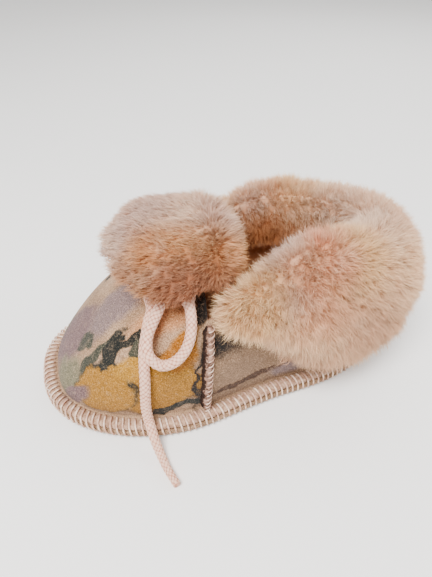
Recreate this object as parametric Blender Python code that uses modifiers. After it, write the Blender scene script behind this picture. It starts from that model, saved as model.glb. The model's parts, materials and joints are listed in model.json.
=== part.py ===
"""Baby sheepskin slipper: flat suede sole, hollow suede upper, folded wool cuff, wool tongue flap, drawstring bow.

Metres, +Z up. The origin is the middle of the sole's flat underside. The toe points along -Y, the wearer's left
is +X. Every size is a named value below. A turn is a place round the sole's edge: 0 at the toe's tip, 0.25 on the
wearer's left, 0.5 at the heel.
"""

from collections import namedtuple
import math

import bmesh
import bpy
from mathutils import Vector

# Sole
SOLE_LENGTH = 0.128
BALL_WIDTH = 0.071
WAIST_WIDTH = 0.0600
HEEL_WIDTH = 0.0615
SOLE_THICKNESS = 0.0024
EDGE_LIFT = 0.0008
TOE_SPRING = 0.0024
SPRING_RUN = 0.016
END_BLUNTNESS = 2.45

# Steps for reading a direction off the sole's edge and up the wall
TURN_STEP = 0.004
RISE_STEP = 0.02

# Upper
EDGE_WIDTH = 0.0045
UPPER_WALL = 0.0022
PIECE_GAP = 0.0003
EDGE_GAP = 0.0006
SEAM_FROM_TOE = 0.052
SEAM_RAKE = 0.0035
THROAT_FROM_TOE = 0.057
THROAT_INSET = 0.0090
ANKLE_INSET = 0.0075
HEEL_INSET = 0.0068
INSTEP_HEIGHT = 0.0485
CORNER_HEIGHT = 0.0405
ANKLE_HEIGHT = 0.0420
HEEL_HEIGHT = 0.0450
WALL_BULGE = 0.0018
WALL_LEAN = 1.7

# Side seams, standing proud of the wall
SEAM_WIDTH = 0.0034
SEAM_HEIGHT = 0.0026
SEAM_FOOT = 0.04
SEAM_TOP = 0.95
SEAM_GAP = 0.0004
SEAM_END_TAPER = 0.55
SEAM_ROWS = 10

# Insole
INSOLE_THICKNESS = 0.0045
INSOLE_EDGE_ROUND = 0.0016

# Cuff
WOOL_DEPTH = 0.0155
CREST_HEIGHT = 0.0200
INNER_WOOL = 0.0065
INNER_DROP = 0.0075
HEM_HEIGHT = 0.0080
FAR_FLATTENING = 0.25
CUFF_GAP = 0.0007
CUFF_START = 0.035
CUFF_FADE = 0.08
CUFF_WALL_STEPS = 3
LOCK_RELIEF = 0.0013
LOCK_LENGTH = 0.0090
LOCK_WIDTH = 0.0068

# Tongue: the throat's own leather, folded back over itself so that its wool lies on top
TONGUE_WIDTH = 0.040
FLAP_WIDTH = 0.053
TONGUE_SKIN = 0.0020
TONGUE_RISE = 0.0028
TONGUE_LEAN = 55.0
ROOT_GAP = 0.0008
FOLD_RADIUS = 0.0021
FLAP_LENGTH = 0.0255
FLAP_PITCH = 2.0
FLAP_SAG = 0.0012
FLAP_WOOL = 0.0080
FLAP_LEVELLING = 0.10
SIDE_WOOL = 0.0025
FRONT_WOOL = 0.0045
CORNER_CUT = 0.55

# Drawstring, tied in a bow under the flap
CORD_DIAMETER = 0.0034
EYELET_DIAMETER = 0.0046
EYELET_PLACE = 0.50
EYELET_DROP = 0.0016
EYELET_BEND = 0.0016
KNOT_WIDTH = 0.0105
KNOT_DEPTH = 0.0070
KNOT_HEIGHT = 0.0060
KNOT_CENTRE = (0.0, -0.0199, 0.0489)

# Mesh density
VAMP_COLUMNS = 13
QUARTER_COLUMNS = 14
WALL_ROWS = 9
CUFF_COLUMNS_EACH = 3
TONGUE_COLUMNS = 18

Station = namedtuple("Station", "share width")
SOLE_STATIONS = (
    Station(0.00, BALL_WIDTH),
    Station(0.33, BALL_WIDTH),
    Station(0.60, WAIST_WIDTH),
    Station(0.82, HEEL_WIDTH),
    Station(1.00, HEEL_WIDTH),
)

# Quarter sections from the side seam, share 0, to the middle of the heel, share 1
Quarter = namedtuple("Quarter", "share height inset wrap")
QUARTER_SECTIONS = (
    Quarter(0.00, CORNER_HEIGHT, THROAT_INSET, 0.12),
    Quarter(0.30, ANKLE_HEIGHT, ANKLE_INSET, 0.00),
    Quarter(0.65, ANKLE_HEIGHT, ANKLE_INSET, 0.00),
    Quarter(1.00, HEEL_HEIGHT, HEEL_INSET, 0.00),
)

# Vamp sections from the toe's tip, share 0, to the side seam, share 1. Wrap is 1 where a section closes over the
# foot like a dome and 0 where it stands like a wall.
Vamp = namedtuple("Vamp", "share roundness slope wrap")
VAMP_SECTIONS = (
    Vamp(0.00, 1.55, 0.30, 1.00),
    Vamp(0.45, 1.70, 0.26, 1.00),
    Vamp(0.80, 2.00, 0.14, 0.60),
    Vamp(1.00, 2.30, 0.00, 0.12),
)

# Cuff sections from the side seam to the heel, as shares of the cuff's own sizes
CuffSection = namedtuple("CuffSection", "share depth crest inner hem")
CUFF_SECTIONS = (
    CuffSection(0.00, 0.35, 0.20, 0.10, 4.70),
    CuffSection(0.09, 0.75, 0.60, 0.15, 4.00),
    CuffSection(0.19, 1.00, 0.98, 0.55, 2.50),
    CuffSection(0.30, 1.05, 1.05, 0.95, 1.50),
    CuffSection(0.50, 1.08, 0.95, 1.00, 1.00),
    CuffSection(0.75, 1.10, 0.82, 1.00, 1.15),
    CuffSection(1.00, 0.95, 0.66, 1.00, 1.50),
)

# The wool's outline in a cuff section. Across is a share of the inner wool where negative and of the depth where
# positive. Up is a share of the crest's height where positive. Below the collar it is a share of the inner drop on
# the foot's side and of the way down to the hem on the outside.
WoolPoint = namedtuple("WoolPoint", "across up")
CUFF_WOOL = (
    WoolPoint(-0.55, -0.95),
    WoolPoint(-0.92, -0.45),
    WoolPoint(-1.00, 0.20),
    WoolPoint(-0.80, 0.70),
    WoolPoint(-0.28, 0.97),
    WoolPoint(0.16, 1.00),
    WoolPoint(0.50, 0.84),
    WoolPoint(0.80, 0.50),
    WoolPoint(0.98, 0.06),
    WoolPoint(1.03, -0.20),
    WoolPoint(0.99, -0.45),
    WoolPoint(0.84, -0.70),
    WoolPoint(0.60, -0.88),
    WoolPoint(0.32, -1.00),
)

# Along the tongue from the throat over the fold to the flap's front: how thick the wool is, and how far the sides
# reach from the tongue's width out to the flap's
TonguePoint = namedtuple("TonguePoint", "share wool spread")
TONGUE_WOOL = (
    TonguePoint(0.00, 0.00, 0.00),
    TonguePoint(0.10, 0.60, 0.00),
    TonguePoint(0.25, 1.30, 0.15),
    TonguePoint(0.50, 1.10, 0.75),
    TonguePoint(0.80, 1.00, 1.00),
    TonguePoint(0.95, 0.72, 0.92),
    TonguePoint(1.00, 0.45, 0.85),
)

# The drawstring's routes, by the middle of the cord. Each loop and end starts at the knot.
BAR_ROUTE = (
    (0.0000, -0.0142, 0.0495),
    (0.0060, -0.0136, 0.0492),
    (0.0110, -0.0126, 0.0484),
    (0.0148, -0.0123, 0.0474),
    (0.0176, -0.0129, 0.0462),
)
LOOP_ROUTE = (
    (0.0058, -0.0224, 0.0503),
    (0.0115, -0.0222, 0.0493),
    (0.0186, -0.0224, 0.0462),
    (0.0226, -0.0254, 0.0433),
    (0.0258, -0.0279, 0.0410),
    (0.0287, -0.0290, 0.0382),
    (0.0309, -0.0283, 0.0357),
    (0.0321, -0.0256, 0.0335),
    (0.0321, -0.0220, 0.0337),
    (0.0310, -0.0186, 0.0357),
    (0.0291, -0.0162, 0.0389),
    (0.0260, -0.0148, 0.0426),
    (0.0221, -0.0146, 0.0461),
    (0.0186, -0.0166, 0.0479),
    (0.0145, -0.0180, 0.0491),
    (0.0058, -0.0186, 0.0499),
)
END_ROUTE = (
    (0.0058, -0.0216, 0.0463),
    (0.0110, -0.0249, 0.0446),
    (0.0168, -0.0252, 0.0427),
    (0.0200, -0.0269, 0.0402),
    (0.0230, -0.0285, 0.0372),
    (0.0257, -0.0298, 0.0339),
    (0.0282, -0.0305, 0.0302),
    (0.0300, -0.0310, 0.0258),
    (0.0311, -0.0316, 0.0202),
    (0.0316, -0.0320, 0.0142),
    (0.0325, -0.0318, 0.0099),
    (0.0350, -0.0315, 0.0080),
    (0.0377, -0.0311, 0.0060),
    (0.0399, -0.0305, 0.0036),
    (0.0427, -0.0298, 0.0022),
    (0.0465, -0.0290, 0.0019),
    (0.0526, -0.0272, 0.0019),
)

FAR_END_TIP = (
    (0.0422, -0.0318, 0.0022),
    (0.0448, -0.0345, 0.0019),
)

# The seam ridge's outline, as shares of half its width and of its height
RidgePoint = namedtuple("RidgePoint", "across up")
SEAM_RIDGE = (
    RidgePoint(1.00, 0.00),
    RidgePoint(0.85, 0.55),
    RidgePoint(0.40, 1.00),
    RidgePoint(-0.40, 1.00),
    RidgePoint(-0.85, 0.55),
    RidgePoint(-1.00, 0.00),
)

# Finishes: colour, roughness
SUEDE_PRINT = ((0.62, 0.47, 0.34), 0.95)
SUEDE_SOLE = ((0.60, 0.46, 0.34), 0.95)
SEAM_EDGE = ((0.50, 0.37, 0.31), 0.90)
WOOL = ((0.86, 0.66, 0.50), 1.00)
LINING_WOOL = ((0.78, 0.50, 0.34), 1.00)
CORD = ((0.90, 0.66, 0.56), 0.80)


def table_value(rows, column, share):
    """A table's column at a share of the way through it, on a smooth curve that is level at both ends."""
    share = min(max(share, rows[0].share), rows[-1].share)
    at = max(i for i in range(len(rows) - 1) if rows[i].share <= share)
    values = [getattr(row, column) for row in rows]

    def slope(i):
        if i in (0, len(rows) - 1):
            return 0.0
        return (values[i + 1] - values[i - 1]) / (rows[i + 1].share - rows[i - 1].share)

    run = rows[at + 1].share - rows[at].share
    t = (share - rows[at].share) / run
    ease = t * t * (3 - 2 * t)
    start_pull = t * (1 - t) ** 2 * run * slope(at)
    end_pull = t * t * (1 - t) * run * slope(at + 1)
    return values[at] + (values[at + 1] - values[at]) * ease + start_pull - end_pull


def half_turn(turn):
    """The same place on the left half, and the sign of X there."""
    turn = turn % 1.0
    return (turn, 1.0) if turn <= 0.5 else (1.0 - turn, -1.0)


def signed_power(value, power):
    return math.copysign(abs(value) ** power, value)


def outline_point(turn):
    """The sole's edge seen from above."""
    angle = math.tau * turn
    y = -signed_power(math.cos(angle), 2 / END_BLUNTNESS) * SOLE_LENGTH / 2
    width = table_value(SOLE_STATIONS, "width", 0.5 + y / SOLE_LENGTH)
    return Vector((signed_power(math.sin(angle), 2 / END_BLUNTNESS) * width / 2, y, 0.0))


def outward(turn):
    """The sole edge's level outward direction."""
    along = outline_point(turn + TURN_STEP) - outline_point(turn - TURN_STEP)
    return Vector((along.y, -along.x, 0.0)).normalized()


def edge_point(turn, inset):
    """A place on the sole this far in from its edge, seen from above."""
    return outline_point(turn) - outward(turn) * inset


def sole_lift(turn, inset):
    """How far the sole's skin rises off the floor: a little all round its edge, and more at the toe."""
    toe = max(math.cos(math.tau * turn), 0.0) ** 3
    near_edge = max(1.0 - inset / SPRING_RUN, 0.0) ** 2
    return (EDGE_LIFT + (TOE_SPRING - EDGE_LIFT) * toe) * near_edge


def turn_at(from_toe):
    """The turn on the left side where the sole's edge lies this far behind the toe's tip."""
    y = from_toe - SOLE_LENGTH / 2
    return math.acos(-signed_power(2 * y / SOLE_LENGTH, END_BLUNTNESS / 2)) / math.tau


SEAM_TURN = turn_at(SEAM_FROM_TOE)


def quarter_share(turn):
    """0 at the side seam and 1 at the middle of the heel."""
    return (half_turn(turn)[0] - SEAM_TURN) / (0.5 - SEAM_TURN)


def vamp_share(turn):
    """0 at the toe's tip and 1 at the side seam."""
    return half_turn(turn)[0] / SEAM_TURN


def collar_point(turn):
    """The upper's top edge: the throat's arch in front, and the quarter's turned edge behind."""
    left, side = half_turn(turn)
    corner = edge_point(SEAM_TURN, THROAT_INSET) + Vector((0.0, SEAM_RAKE, 0.0))
    if left < SEAM_TURN:
        across = math.sin(math.pi / 2 * vamp_share(left))
        front = THROAT_FROM_TOE - SOLE_LENGTH / 2
        arch = 1.0 - across * across
        return Vector((
            side * corner.x * across,
            corner.y + (front - corner.y) * arch,
            CORNER_HEIGHT + (INSTEP_HEIGHT - CORNER_HEIGHT) * arch,
        ))
    share = quarter_share(left)
    place = edge_point(left, table_value(QUARTER_SECTIONS, "inset", share))
    place.y += SEAM_RAKE * (1.0 - share) ** 3
    return Vector((side * place.x, place.y, table_value(QUARTER_SECTIONS, "height", share)))


def upper_point(turn, rise):
    """The upper's outer face: rise 0 is the wall's foot on the stitched edge, and 1 is the top edge."""
    left, side = half_turn(turn)
    foot = edge_point(left, EDGE_WIDTH)
    foot.z = flange_top(left, EDGE_WIDTH)
    top = collar_point(left)
    roundness = table_value(VAMP_SECTIONS, "roundness", vamp_share(left))
    slope = table_value(VAMP_SECTIONS, "slope", vamp_share(left))
    if left < SEAM_TURN:
        wrap = table_value(VAMP_SECTIONS, "wrap", vamp_share(left))
    else:
        wrap = table_value(QUARTER_SECTIONS, "wrap", quarter_share(left))
    angle = math.pi / 2 * rise
    dome_in = 1.0 - max(math.cos(angle), 0.0) ** (2 / roundness)
    dome_up = (1.0 - slope) * math.sin(angle) ** (2 / roundness) + slope * dome_in
    inward = wrap * dome_in + (1.0 - wrap) * rise ** WALL_LEAN
    upward = wrap * dome_up + (1.0 - wrap) * rise
    point = foot.lerp(top, inward)
    point.z = foot.z + (top.z - foot.z) * upward
    point += outward(left) * WALL_BULGE * math.sin(math.pi * rise)
    point.x *= side
    return point


def flange_top(turn, inset):
    """Height of the upper's turned-out edge."""
    return SOLE_THICKNESS + EDGE_GAP + UPPER_WALL + sole_lift(turn, inset)


def upper_normal(turn, rise):
    """The upper's outward direction, off its face."""
    low, high = max(rise - RISE_STEP, 0.0), min(rise + RISE_STEP, 1.0)
    around = upper_point(turn + TURN_STEP / 2, rise) - upper_point(turn - TURN_STEP / 2, rise)
    upward = upper_point(turn, high) - upper_point(turn, low)
    return around.cross(upward).normalized()


def upper_columns():
    """The turns of the upper's mesh columns, with one on each side seam."""
    left = [SEAM_TURN * i / VAMP_COLUMNS for i in range(VAMP_COLUMNS)]
    behind = 0.5 - SEAM_TURN
    left += [SEAM_TURN + behind * i / QUARTER_COLUMNS for i in range(QUARTER_COLUMNS)]
    return left + [0.5] + [1.0 - turn for turn in reversed(left[1:])]


def material(name, finish):
    colour, roughness = finish
    made = bpy.data.materials.new(name)
    made.use_nodes = True
    shader = made.node_tree.nodes["Principled BSDF"]
    shader.inputs["Base Color"].default_value = (*colour, 1.0)
    shader.inputs["Roughness"].default_value = roughness
    shader.inputs["Metallic"].default_value = 0.0
    return made


def add_object(name, data, finish):
    """Links an object for this data to the slipper's collection, with its own material."""
    data.materials.append(material(name + "_finish", finish))
    made = bpy.data.objects.new(name, data)
    bpy.data.collections["sheepskin_slipper"].objects.link(made)
    return made


def loft(name, rings, finish, ring_closed=True, ends_capped=True, loop_closed=False):
    """A skin through rings of points. Its faces point out where rings run anticlockwise seen from their end."""
    bm = bmesh.new()
    made = [[bm.verts.new(point) for point in ring] for ring in rings]
    pairs = list(zip(made, made[1:] + ([made[0]] if loop_closed else [])))
    for near, far in pairs[: len(made) if loop_closed else len(made) - 1]:
        count = len(near)
        for i in range(count if ring_closed else count - 1):
            j = (i + 1) % count
            bm.faces.new((near[i], near[j], far[j], far[i]))
    if ends_capped:
        bm.faces.new(reversed(made[0]))
        bm.faces.new(made[-1])
    bmesh.ops.recalc_face_normals(bm, faces=bm.faces)
    mesh = bpy.data.meshes.new(name)
    bm.to_mesh(mesh)
    bm.free()
    mesh.shade_smooth()
    mesh.set_sharp_from_angle(angle=math.radians(50))
    return add_object(name, mesh, finish)


def outsole():
    """Flat suede sole with a true outline, its edge lifted a little and its toe a little more."""
    rings = []
    insets = (SPRING_RUN, (SPRING_RUN + EDGE_WIDTH) / 2, EDGE_WIDTH, EDGE_WIDTH / 2, 0.0)
    for top, steps in ((0.0, insets), (SOLE_THICKNESS, reversed(insets))):
        for inset in steps:
            rings.append([
                edge_point(turn, inset) + Vector((0.0, 0.0, sole_lift(turn, inset) + top))
                for turn in upper_columns()
            ])
    return loft("outsole", rings, SUEDE_SOLE)


def insole():
    """Fleece footbed, filling the sole inside the upper's wall."""
    side = EDGE_WIDTH + UPPER_WALL + EDGE_GAP * 1.5
    base = SOLE_THICKNESS + PIECE_GAP
    edge = INSOLE_EDGE_ROUND
    levels = ((side + 2 * edge, 0.0), (side, edge), (side, INSOLE_THICKNESS - edge),
              (side + edge, INSOLE_THICKNESS))
    rings = [
        [
            edge_point(turn, inset) + Vector((0.0, 0.0, base + height + sole_lift(turn, inset)))
            for turn in upper_columns()[::2]
        ]
        for inset, height in levels
    ]
    return loft("insole", rings, LINING_WOOL)


def eyelet_places():
    """Turn and rise of the two drawstring holes in the vamp, under the flap's sides."""
    turn = SEAM_TURN * EYELET_PLACE
    rise = rise_at(turn, collar_point(turn).z - EYELET_DROP)
    return (turn, rise), (1.0 - turn, rise)


def upper():
    """One hollow wall: turned-out stitched edge, vamp and quarters, open at the collar and underneath."""
    turns = upper_columns()
    rings = []
    for inset in (0.0, EDGE_WIDTH / 2):
        rings.append([
            edge_point(turn, inset) + Vector((0.0, 0.0, flange_top(turn, inset))) for turn in turns
        ])
    for row in range(WALL_ROWS + 1):
        rings.append([upper_point(turn, row / WALL_ROWS) for turn in turns])
    made = loft("upper", rings, SUEDE_PRINT, ends_capped=False)
    wall = made.modifiers.new("wall", "SOLIDIFY")
    wall.thickness = UPPER_WALL
    wall.offset = -1.0
    wall.use_even_offset = True
    for index, (turn, rise) in enumerate(eyelet_places()):
        punch = bpy.data.objects.new("punch_%d" % index, eyelet_punch())
        bpy.data.collections["cutters"].objects.link(punch)
        punch.location = upper_point(turn, rise)
        punch.rotation_euler = upper_normal(turn, rise).to_track_quat("Z", "Y").to_euler()
        punch.hide_render = True
        punch.display_type = "WIRE"
        hole = made.modifiers.new("eyelet_%d" % index, "BOOLEAN")
        hole.operation = "DIFFERENCE"
        hole.object = punch
    return made


def eyelet_punch():
    """Round cutter for one eyelet."""
    mesh = bpy.data.meshes.new("eyelet_punch")
    bm = bmesh.new()
    radius = EYELET_DIAMETER / 2
    bmesh.ops.create_cone(bm, cap_ends=True, segments=12, radius1=radius, radius2=radius, depth=UPPER_WALL * 4)
    bm.to_mesh(mesh)
    bm.free()
    return mesh


def side_seam(name, turn):
    """Raised overcast seam between vamp and quarter, a ridge that follows the upper's own face."""
    rings = []
    for row in range(SEAM_ROWS + 1):
        rise = SEAM_FOOT + (SEAM_TOP - SEAM_FOOT) * row / SEAM_ROWS
        normal = upper_normal(turn, rise)
        base = upper_point(turn, rise) + normal * SEAM_GAP
        around = upper_point(turn + TURN_STEP, rise) - upper_point(turn - TURN_STEP, rise)
        taper = SEAM_END_TAPER if row in (0, SEAM_ROWS) else 1.0
        half = around.normalized() * SEAM_WIDTH / 2 * taper
        high = normal * SEAM_HEIGHT * taper
        rings.append([base + half * ridge.across + high * ridge.up for ridge in SEAM_RIDGE])
    return loft(name, rings, SEAM_EDGE)


def lock_relief(around, along):
    """Depth of the wool's locks, from 0 between them to 1 on their tips. Each row is staggered by half a lock."""
    row = math.floor(along / LOCK_LENGTH)
    within = along / LOCK_LENGTH - row
    shift = 0.5 * (row % 2) + 0.11 * math.sin(5.1 * row)
    across = abs((around / LOCK_WIDTH + shift) % 1.0 - 0.5) * 2
    point = max(1.0 - across ** (1.0 + 1.6 * (1.0 - within)), 0.0)
    return point * (0.35 + 0.65 * within)


def rise_at(turn, height):
    """The rise at which the upper's wall passes this height."""
    low, high = 0.0, 1.0
    for _ in range(24):
        middle = (low + high) / 2
        if upper_point(turn, middle).z < height:
            low = middle
        else:
            high = middle
    return low


def cuff_section(turn, column):
    """One closed section of the cuff: up the upper's outside, over its edge, and back round the wool."""
    left, side = half_turn(turn)
    share = quarter_share(left)
    depth = WOOL_DEPTH * table_value(CUFF_SECTIONS, "depth", share)
    crest = CREST_HEIGHT * table_value(CUFF_SECTIONS, "crest", share)
    if side < 0:
        crest *= 1.0 - FAR_FLATTENING * (1.0 - share ** 4)
    inner = INNER_WOOL * table_value(CUFF_SECTIONS, "inner", share)
    hem = HEM_HEIGHT * table_value(CUFF_SECTIONS, "hem", share)
    top = collar_point(left)
    away = outward(left)
    over = Vector((0.0, 0.0, CUFF_GAP))
    hem_rise = rise_at(left, hem)
    ring = []
    for step in range(CUFF_WALL_STEPS + 1):
        rise = hem_rise + (1.0 - hem_rise) * step / CUFF_WALL_STEPS
        ring.append(upper_point(left, rise) + upper_normal(left, rise) * CUFF_GAP)
    ring[-1] += over
    inside = upper_normal(left, 1.0) * -(UPPER_WALL + CUFF_GAP)
    ring.append(top + inside + over)
    drop_rise = rise_at(left, top.z - INNER_DROP)
    ring.append(upper_point(left, drop_rise) - upper_normal(left, drop_rise) * (UPPER_WALL + CUFF_GAP))
    centre = top + away * depth * 0.35 - Vector((0.0, 0.0, (top.z - hem) * 0.25))
    relief = LOCK_RELIEF * min((share - CUFF_START) / CUFF_FADE, 1.0)
    travelled = 0.0
    last = ring[-1]
    for place in CUFF_WOOL:
        outer = place.across > 0
        if place.up > 0:
            height = place.up * crest
        else:
            height = place.up * (top.z - hem if outer else INNER_DROP)
        point = top + away * place.across * (depth if outer else inner) + Vector((0.0, 0.0, height))
        if not outer:
            point += inside
        travelled += (point - last).length
        last = point
        lock = lock_relief(column * LOCK_WIDTH / CUFF_COLUMNS_EACH, travelled) * relief
        ring.append(point + (point - centre).normalized() * lock)
    return [Vector((side * p.x, p.y, p.z)) for p in ring]


def cuff():
    """The quarter's top folded down with its wool outwards, round the heel from seam to seam."""
    columns = QUARTER_COLUMNS * CUFF_COLUMNS_EACH
    behind = 0.5 - SEAM_TURN
    start = SEAM_TURN + behind * CUFF_START
    turns = [start + (0.5 - start) * i / columns for i in range(columns)] + [0.5]
    turns += [1.0 - turn for turn in reversed(turns[:-1])]
    rings = [cuff_section(turn, i) for i, turn in enumerate(turns)]
    return loft("cuff", rings, WOOL)



def tongue_path():
    """Points (y, z) of the tongue's skin side in the middle, from the throat up, over the fold and forward."""
    lean = math.radians(TONGUE_LEAN)
    pitch = math.radians(FLAP_PITCH)
    back, up = math.sin(lean), math.cos(lean)
    points = [(back * length, up * length) for length in (ROOT_GAP, (ROOT_GAP + TONGUE_RISE) / 2)]
    centre_y = back * TONGUE_RISE - up * FOLD_RADIUS
    centre_z = up * TONGUE_RISE + back * FOLD_RADIUS
    for i in range(6):
        angle = -lean + (math.pi / 2 + pitch + lean) * i / 5
        points.append((centre_y + FOLD_RADIUS * math.cos(angle), centre_z + FOLD_RADIUS * math.sin(angle)))
    y, z = points[-1]
    for i in range(1, 9):
        share = i / 8
        run = FLAP_LENGTH * share
        points.append((y - run * math.cos(pitch), z - run * math.sin(pitch) - FLAP_SAG * share * share))
    return points


def tongue_section(across):
    """One closed section of the tongue, from -1 on its right side to 1 on its left."""
    at_throat = math.asin(across * TONGUE_WIDTH / 2 / collar_point(SEAM_TURN).x) / (math.pi / 2)
    base = collar_point(SEAM_TURN * at_throat)
    path = tongue_path()
    side = abs(across)
    fullness = math.sqrt(max(1.0 - side ** 3.2, 0.0))
    corner = 1.0 - CORNER_CUT * side ** 2.5
    total = sum(math.dist(near, far) for near, far in zip(path, path[1:]))
    travelled = 0.0
    skin, wool = [], []
    for i, (y, z) in enumerate(path):
        behind, ahead = path[max(i - 1, 0)], path[min(i + 1, len(path) - 1)]
        travelled += math.dist(behind, path[i])
        run = math.dist(ahead, behind)
        normal = Vector((0.0, (ahead[1] - behind[1]) / run, -(ahead[0] - behind[0]) / run))
        spread = table_value(TONGUE_WOOL, "spread", travelled / total)
        half = (TONGUE_WIDTH + (FLAP_WIDTH - TONGUE_WIDTH) * spread) / 2
        level = (INSTEP_HEIGHT - base.z) * FLAP_LEVELLING * spread
        place = Vector((half * across, base.y + y * (corner if y < 0 else 1.0), base.z + z + level))
        pile = FLAP_WOOL * table_value(TONGUE_WOOL, "wool", travelled / total)
        pile += LOCK_RELIEF * lock_relief(place.x + FLAP_WIDTH, travelled)
        swell = Vector((across * SIDE_WOOL * spread * fullness, 0.0, 0.0))
        skin.append(place)
        wool.append(place + normal * (TONGUE_SKIN + pile * fullness) + swell)
    front = (skin[-1] + wool[-1]) / 2 - Vector((0.0, FRONT_WOOL * fullness + TONGUE_SKIN / 3, 0.0))
    return skin + [front] + list(reversed(wool))


def tongue():
    """The vamp's tongue, folded forward over the bow with its wool on top."""
    rings = []
    for i in range(TONGUE_COLUMNS + 1):
        angle = math.pi * (i / TONGUE_COLUMNS - 0.5)
        rings.append(tongue_section(0.985 * math.sin(angle)))
    return loft("tongue", rings, WOOL)


def smooth_route(route, steps=2):
    """Points on a smooth curve through a route's own points."""
    places = [Vector(point) for point in route]
    places = [places[0] * 2 - places[1]] + places + [places[-1] * 2 - places[-2]]
    smooth = []
    for before, near, far, after in zip(places, places[1:], places[2:], places[3:]):
        for i in range(steps):
            t = i / steps
            smooth.append((
                near * 2 + (far - before) * t + (before * 2 - near * 5 + far * 4 - after) * t * t
                + (near * 3 - before - far * 3 + after) * t * t * t
            ) / 2)
    return smooth + [places[-2]]


def mirrored(route):
    return tuple((-x, y, z) for x, y, z in route)


def bar_route():
    """From the middle behind the knot to just inside the left eyelet."""
    turn, rise = eyelet_places()[0]
    hole, normal = upper_point(turn, rise), upper_normal(turn, rise)
    return BAR_ROUTE + (tuple(hole + normal * EYELET_BEND), tuple(hole - normal * UPPER_WALL / 4))


def cord(name, route):
    """A stretch of the round drawstring along a route."""
    curve = bpy.data.curves.new(name, "CURVE")
    curve.dimensions = "3D"
    curve.bevel_depth = CORD_DIAMETER / 2
    curve.bevel_resolution = 2
    curve.use_fill_caps = True
    points = smooth_route(route)
    spline = curve.splines.new("POLY")
    spline.points.add(len(points) - 1)
    for target, point in zip(spline.points, points):
        target.co = (*point, 1.0)
    return add_object(name, curve, CORD)


def bow_knot():
    """The bow's knot: a rounded core with the cord's turns round it, joined."""
    bm = bmesh.new()
    bmesh.ops.create_uvsphere(bm, u_segments=16, v_segments=10, radius=0.5)
    size = Vector((KNOT_WIDTH, KNOT_DEPTH, KNOT_HEIGHT))
    bmesh.ops.scale(bm, vec=size, verts=bm.verts)
    bmesh.ops.translate(bm, vec=Vector(KNOT_CENTRE), verts=bm.verts)
    mesh = bpy.data.meshes.new("bow_knot")
    bm.to_mesh(mesh)
    bm.free()
    mesh.shade_smooth()
    return add_object("bow_knot", mesh, CORD)


def clear_scene():
    for obj in list(bpy.data.objects):
        bpy.data.objects.remove(obj, do_unlink=True)
    for name in ("sheepskin_slipper", "cutters"):
        bpy.context.scene.collection.children.link(bpy.data.collections.new(name))


def main():
    clear_scene()
    outsole()
    insole()
    upper()
    side_seam("side_seam_left", SEAM_TURN)
    side_seam("side_seam_right", 1.0 - SEAM_TURN)
    cuff()
    tongue()
    cord("drawstring", tuple(reversed(mirrored(bar_route()[1:]))) + bar_route())
    bow_knot()
    cord("bow_loop_left", LOOP_ROUTE)
    cord("bow_loop_right", mirrored(LOOP_ROUTE))
    cord("bow_end_left", END_ROUTE)
    cord("bow_end_right", mirrored(END_ROUTE[:-3] + FAR_END_TIP))


main()
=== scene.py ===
"""Looks of the baby sheepskin slipper: printed suede, wool strands, braided drawstring and whip stitches.

Metres, +Z up, toe along -Y, the wearer's left along +X, origin in the middle of the sole's underside.
A turn is a place round the sole's edge: 0 at the toe's tip, 0.25 on the wearer's left, 0.5 at the heel.
"""

from collections import namedtuple
import json
import math

import bmesh
import bpy
from bpy.props import FloatProperty, FloatVectorProperty, IntProperty, PointerProperty
from bpy.types import Operator, Panel, PropertyGroup
from mathutils import Matrix, Vector, noise
from mathutils.bvhtree import BVHTree
import numpy as np

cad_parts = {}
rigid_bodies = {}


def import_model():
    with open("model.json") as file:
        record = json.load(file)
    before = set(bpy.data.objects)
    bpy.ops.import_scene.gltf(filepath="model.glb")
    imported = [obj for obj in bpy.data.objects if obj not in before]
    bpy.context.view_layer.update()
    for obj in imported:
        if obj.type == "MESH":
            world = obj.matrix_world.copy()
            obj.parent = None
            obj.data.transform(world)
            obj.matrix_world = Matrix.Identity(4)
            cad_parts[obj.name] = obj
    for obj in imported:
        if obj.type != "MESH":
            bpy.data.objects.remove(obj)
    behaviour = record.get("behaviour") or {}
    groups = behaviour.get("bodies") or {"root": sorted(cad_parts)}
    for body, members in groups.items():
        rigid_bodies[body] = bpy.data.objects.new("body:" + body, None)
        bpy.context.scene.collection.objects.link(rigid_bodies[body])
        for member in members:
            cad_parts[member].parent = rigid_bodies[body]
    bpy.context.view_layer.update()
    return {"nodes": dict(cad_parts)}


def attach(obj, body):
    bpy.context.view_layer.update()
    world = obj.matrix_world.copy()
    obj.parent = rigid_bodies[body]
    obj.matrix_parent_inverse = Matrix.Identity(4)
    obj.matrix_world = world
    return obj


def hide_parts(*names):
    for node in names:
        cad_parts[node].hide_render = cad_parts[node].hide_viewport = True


bl_info = {
    "name": "Baby Sheepskin Slipper",
    "version": (1, 0, 0),
    "blender": (4, 5, 0),
    "location": "View3D > Sidebar > Slipper",
    "description": "Dresses a sheepskin slipper in printed suede, wool, whip stitches and a braided bow",
    "category": "Add Mesh",
}

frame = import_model()

# Sizes of the last and its pieces
SOLE_LENGTH = 0.128
BALL_WIDTH = 0.071
WAIST_WIDTH = 0.0600
HEEL_WIDTH = 0.0615
SOLE_THICKNESS = 0.0024
EDGE_LIFT = 0.0008
TOE_SPRING = 0.0024
SPRING_RUN = 0.016
END_BLUNTNESS = 2.45
EDGE_WIDTH = 0.0045
UPPER_WALL = 0.0022
EDGE_GAP = 0.0006
SEAM_FROM_TOE = 0.052
SEAM_RAKE = 0.0035
THROAT_FROM_TOE = 0.057
THROAT_INSET = 0.0090
ANKLE_INSET = 0.0075
HEEL_INSET = 0.0068
INSTEP_HEIGHT = 0.0485
CORNER_HEIGHT = 0.0405
ANKLE_HEIGHT = 0.0420
HEEL_HEIGHT = 0.0450
WALL_BULGE = 0.0018
WALL_LEAN = 1.7
TURN_STEP = 0.004
RISE_STEP = 0.02
SEAM_WIDTH = 0.0034
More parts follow.
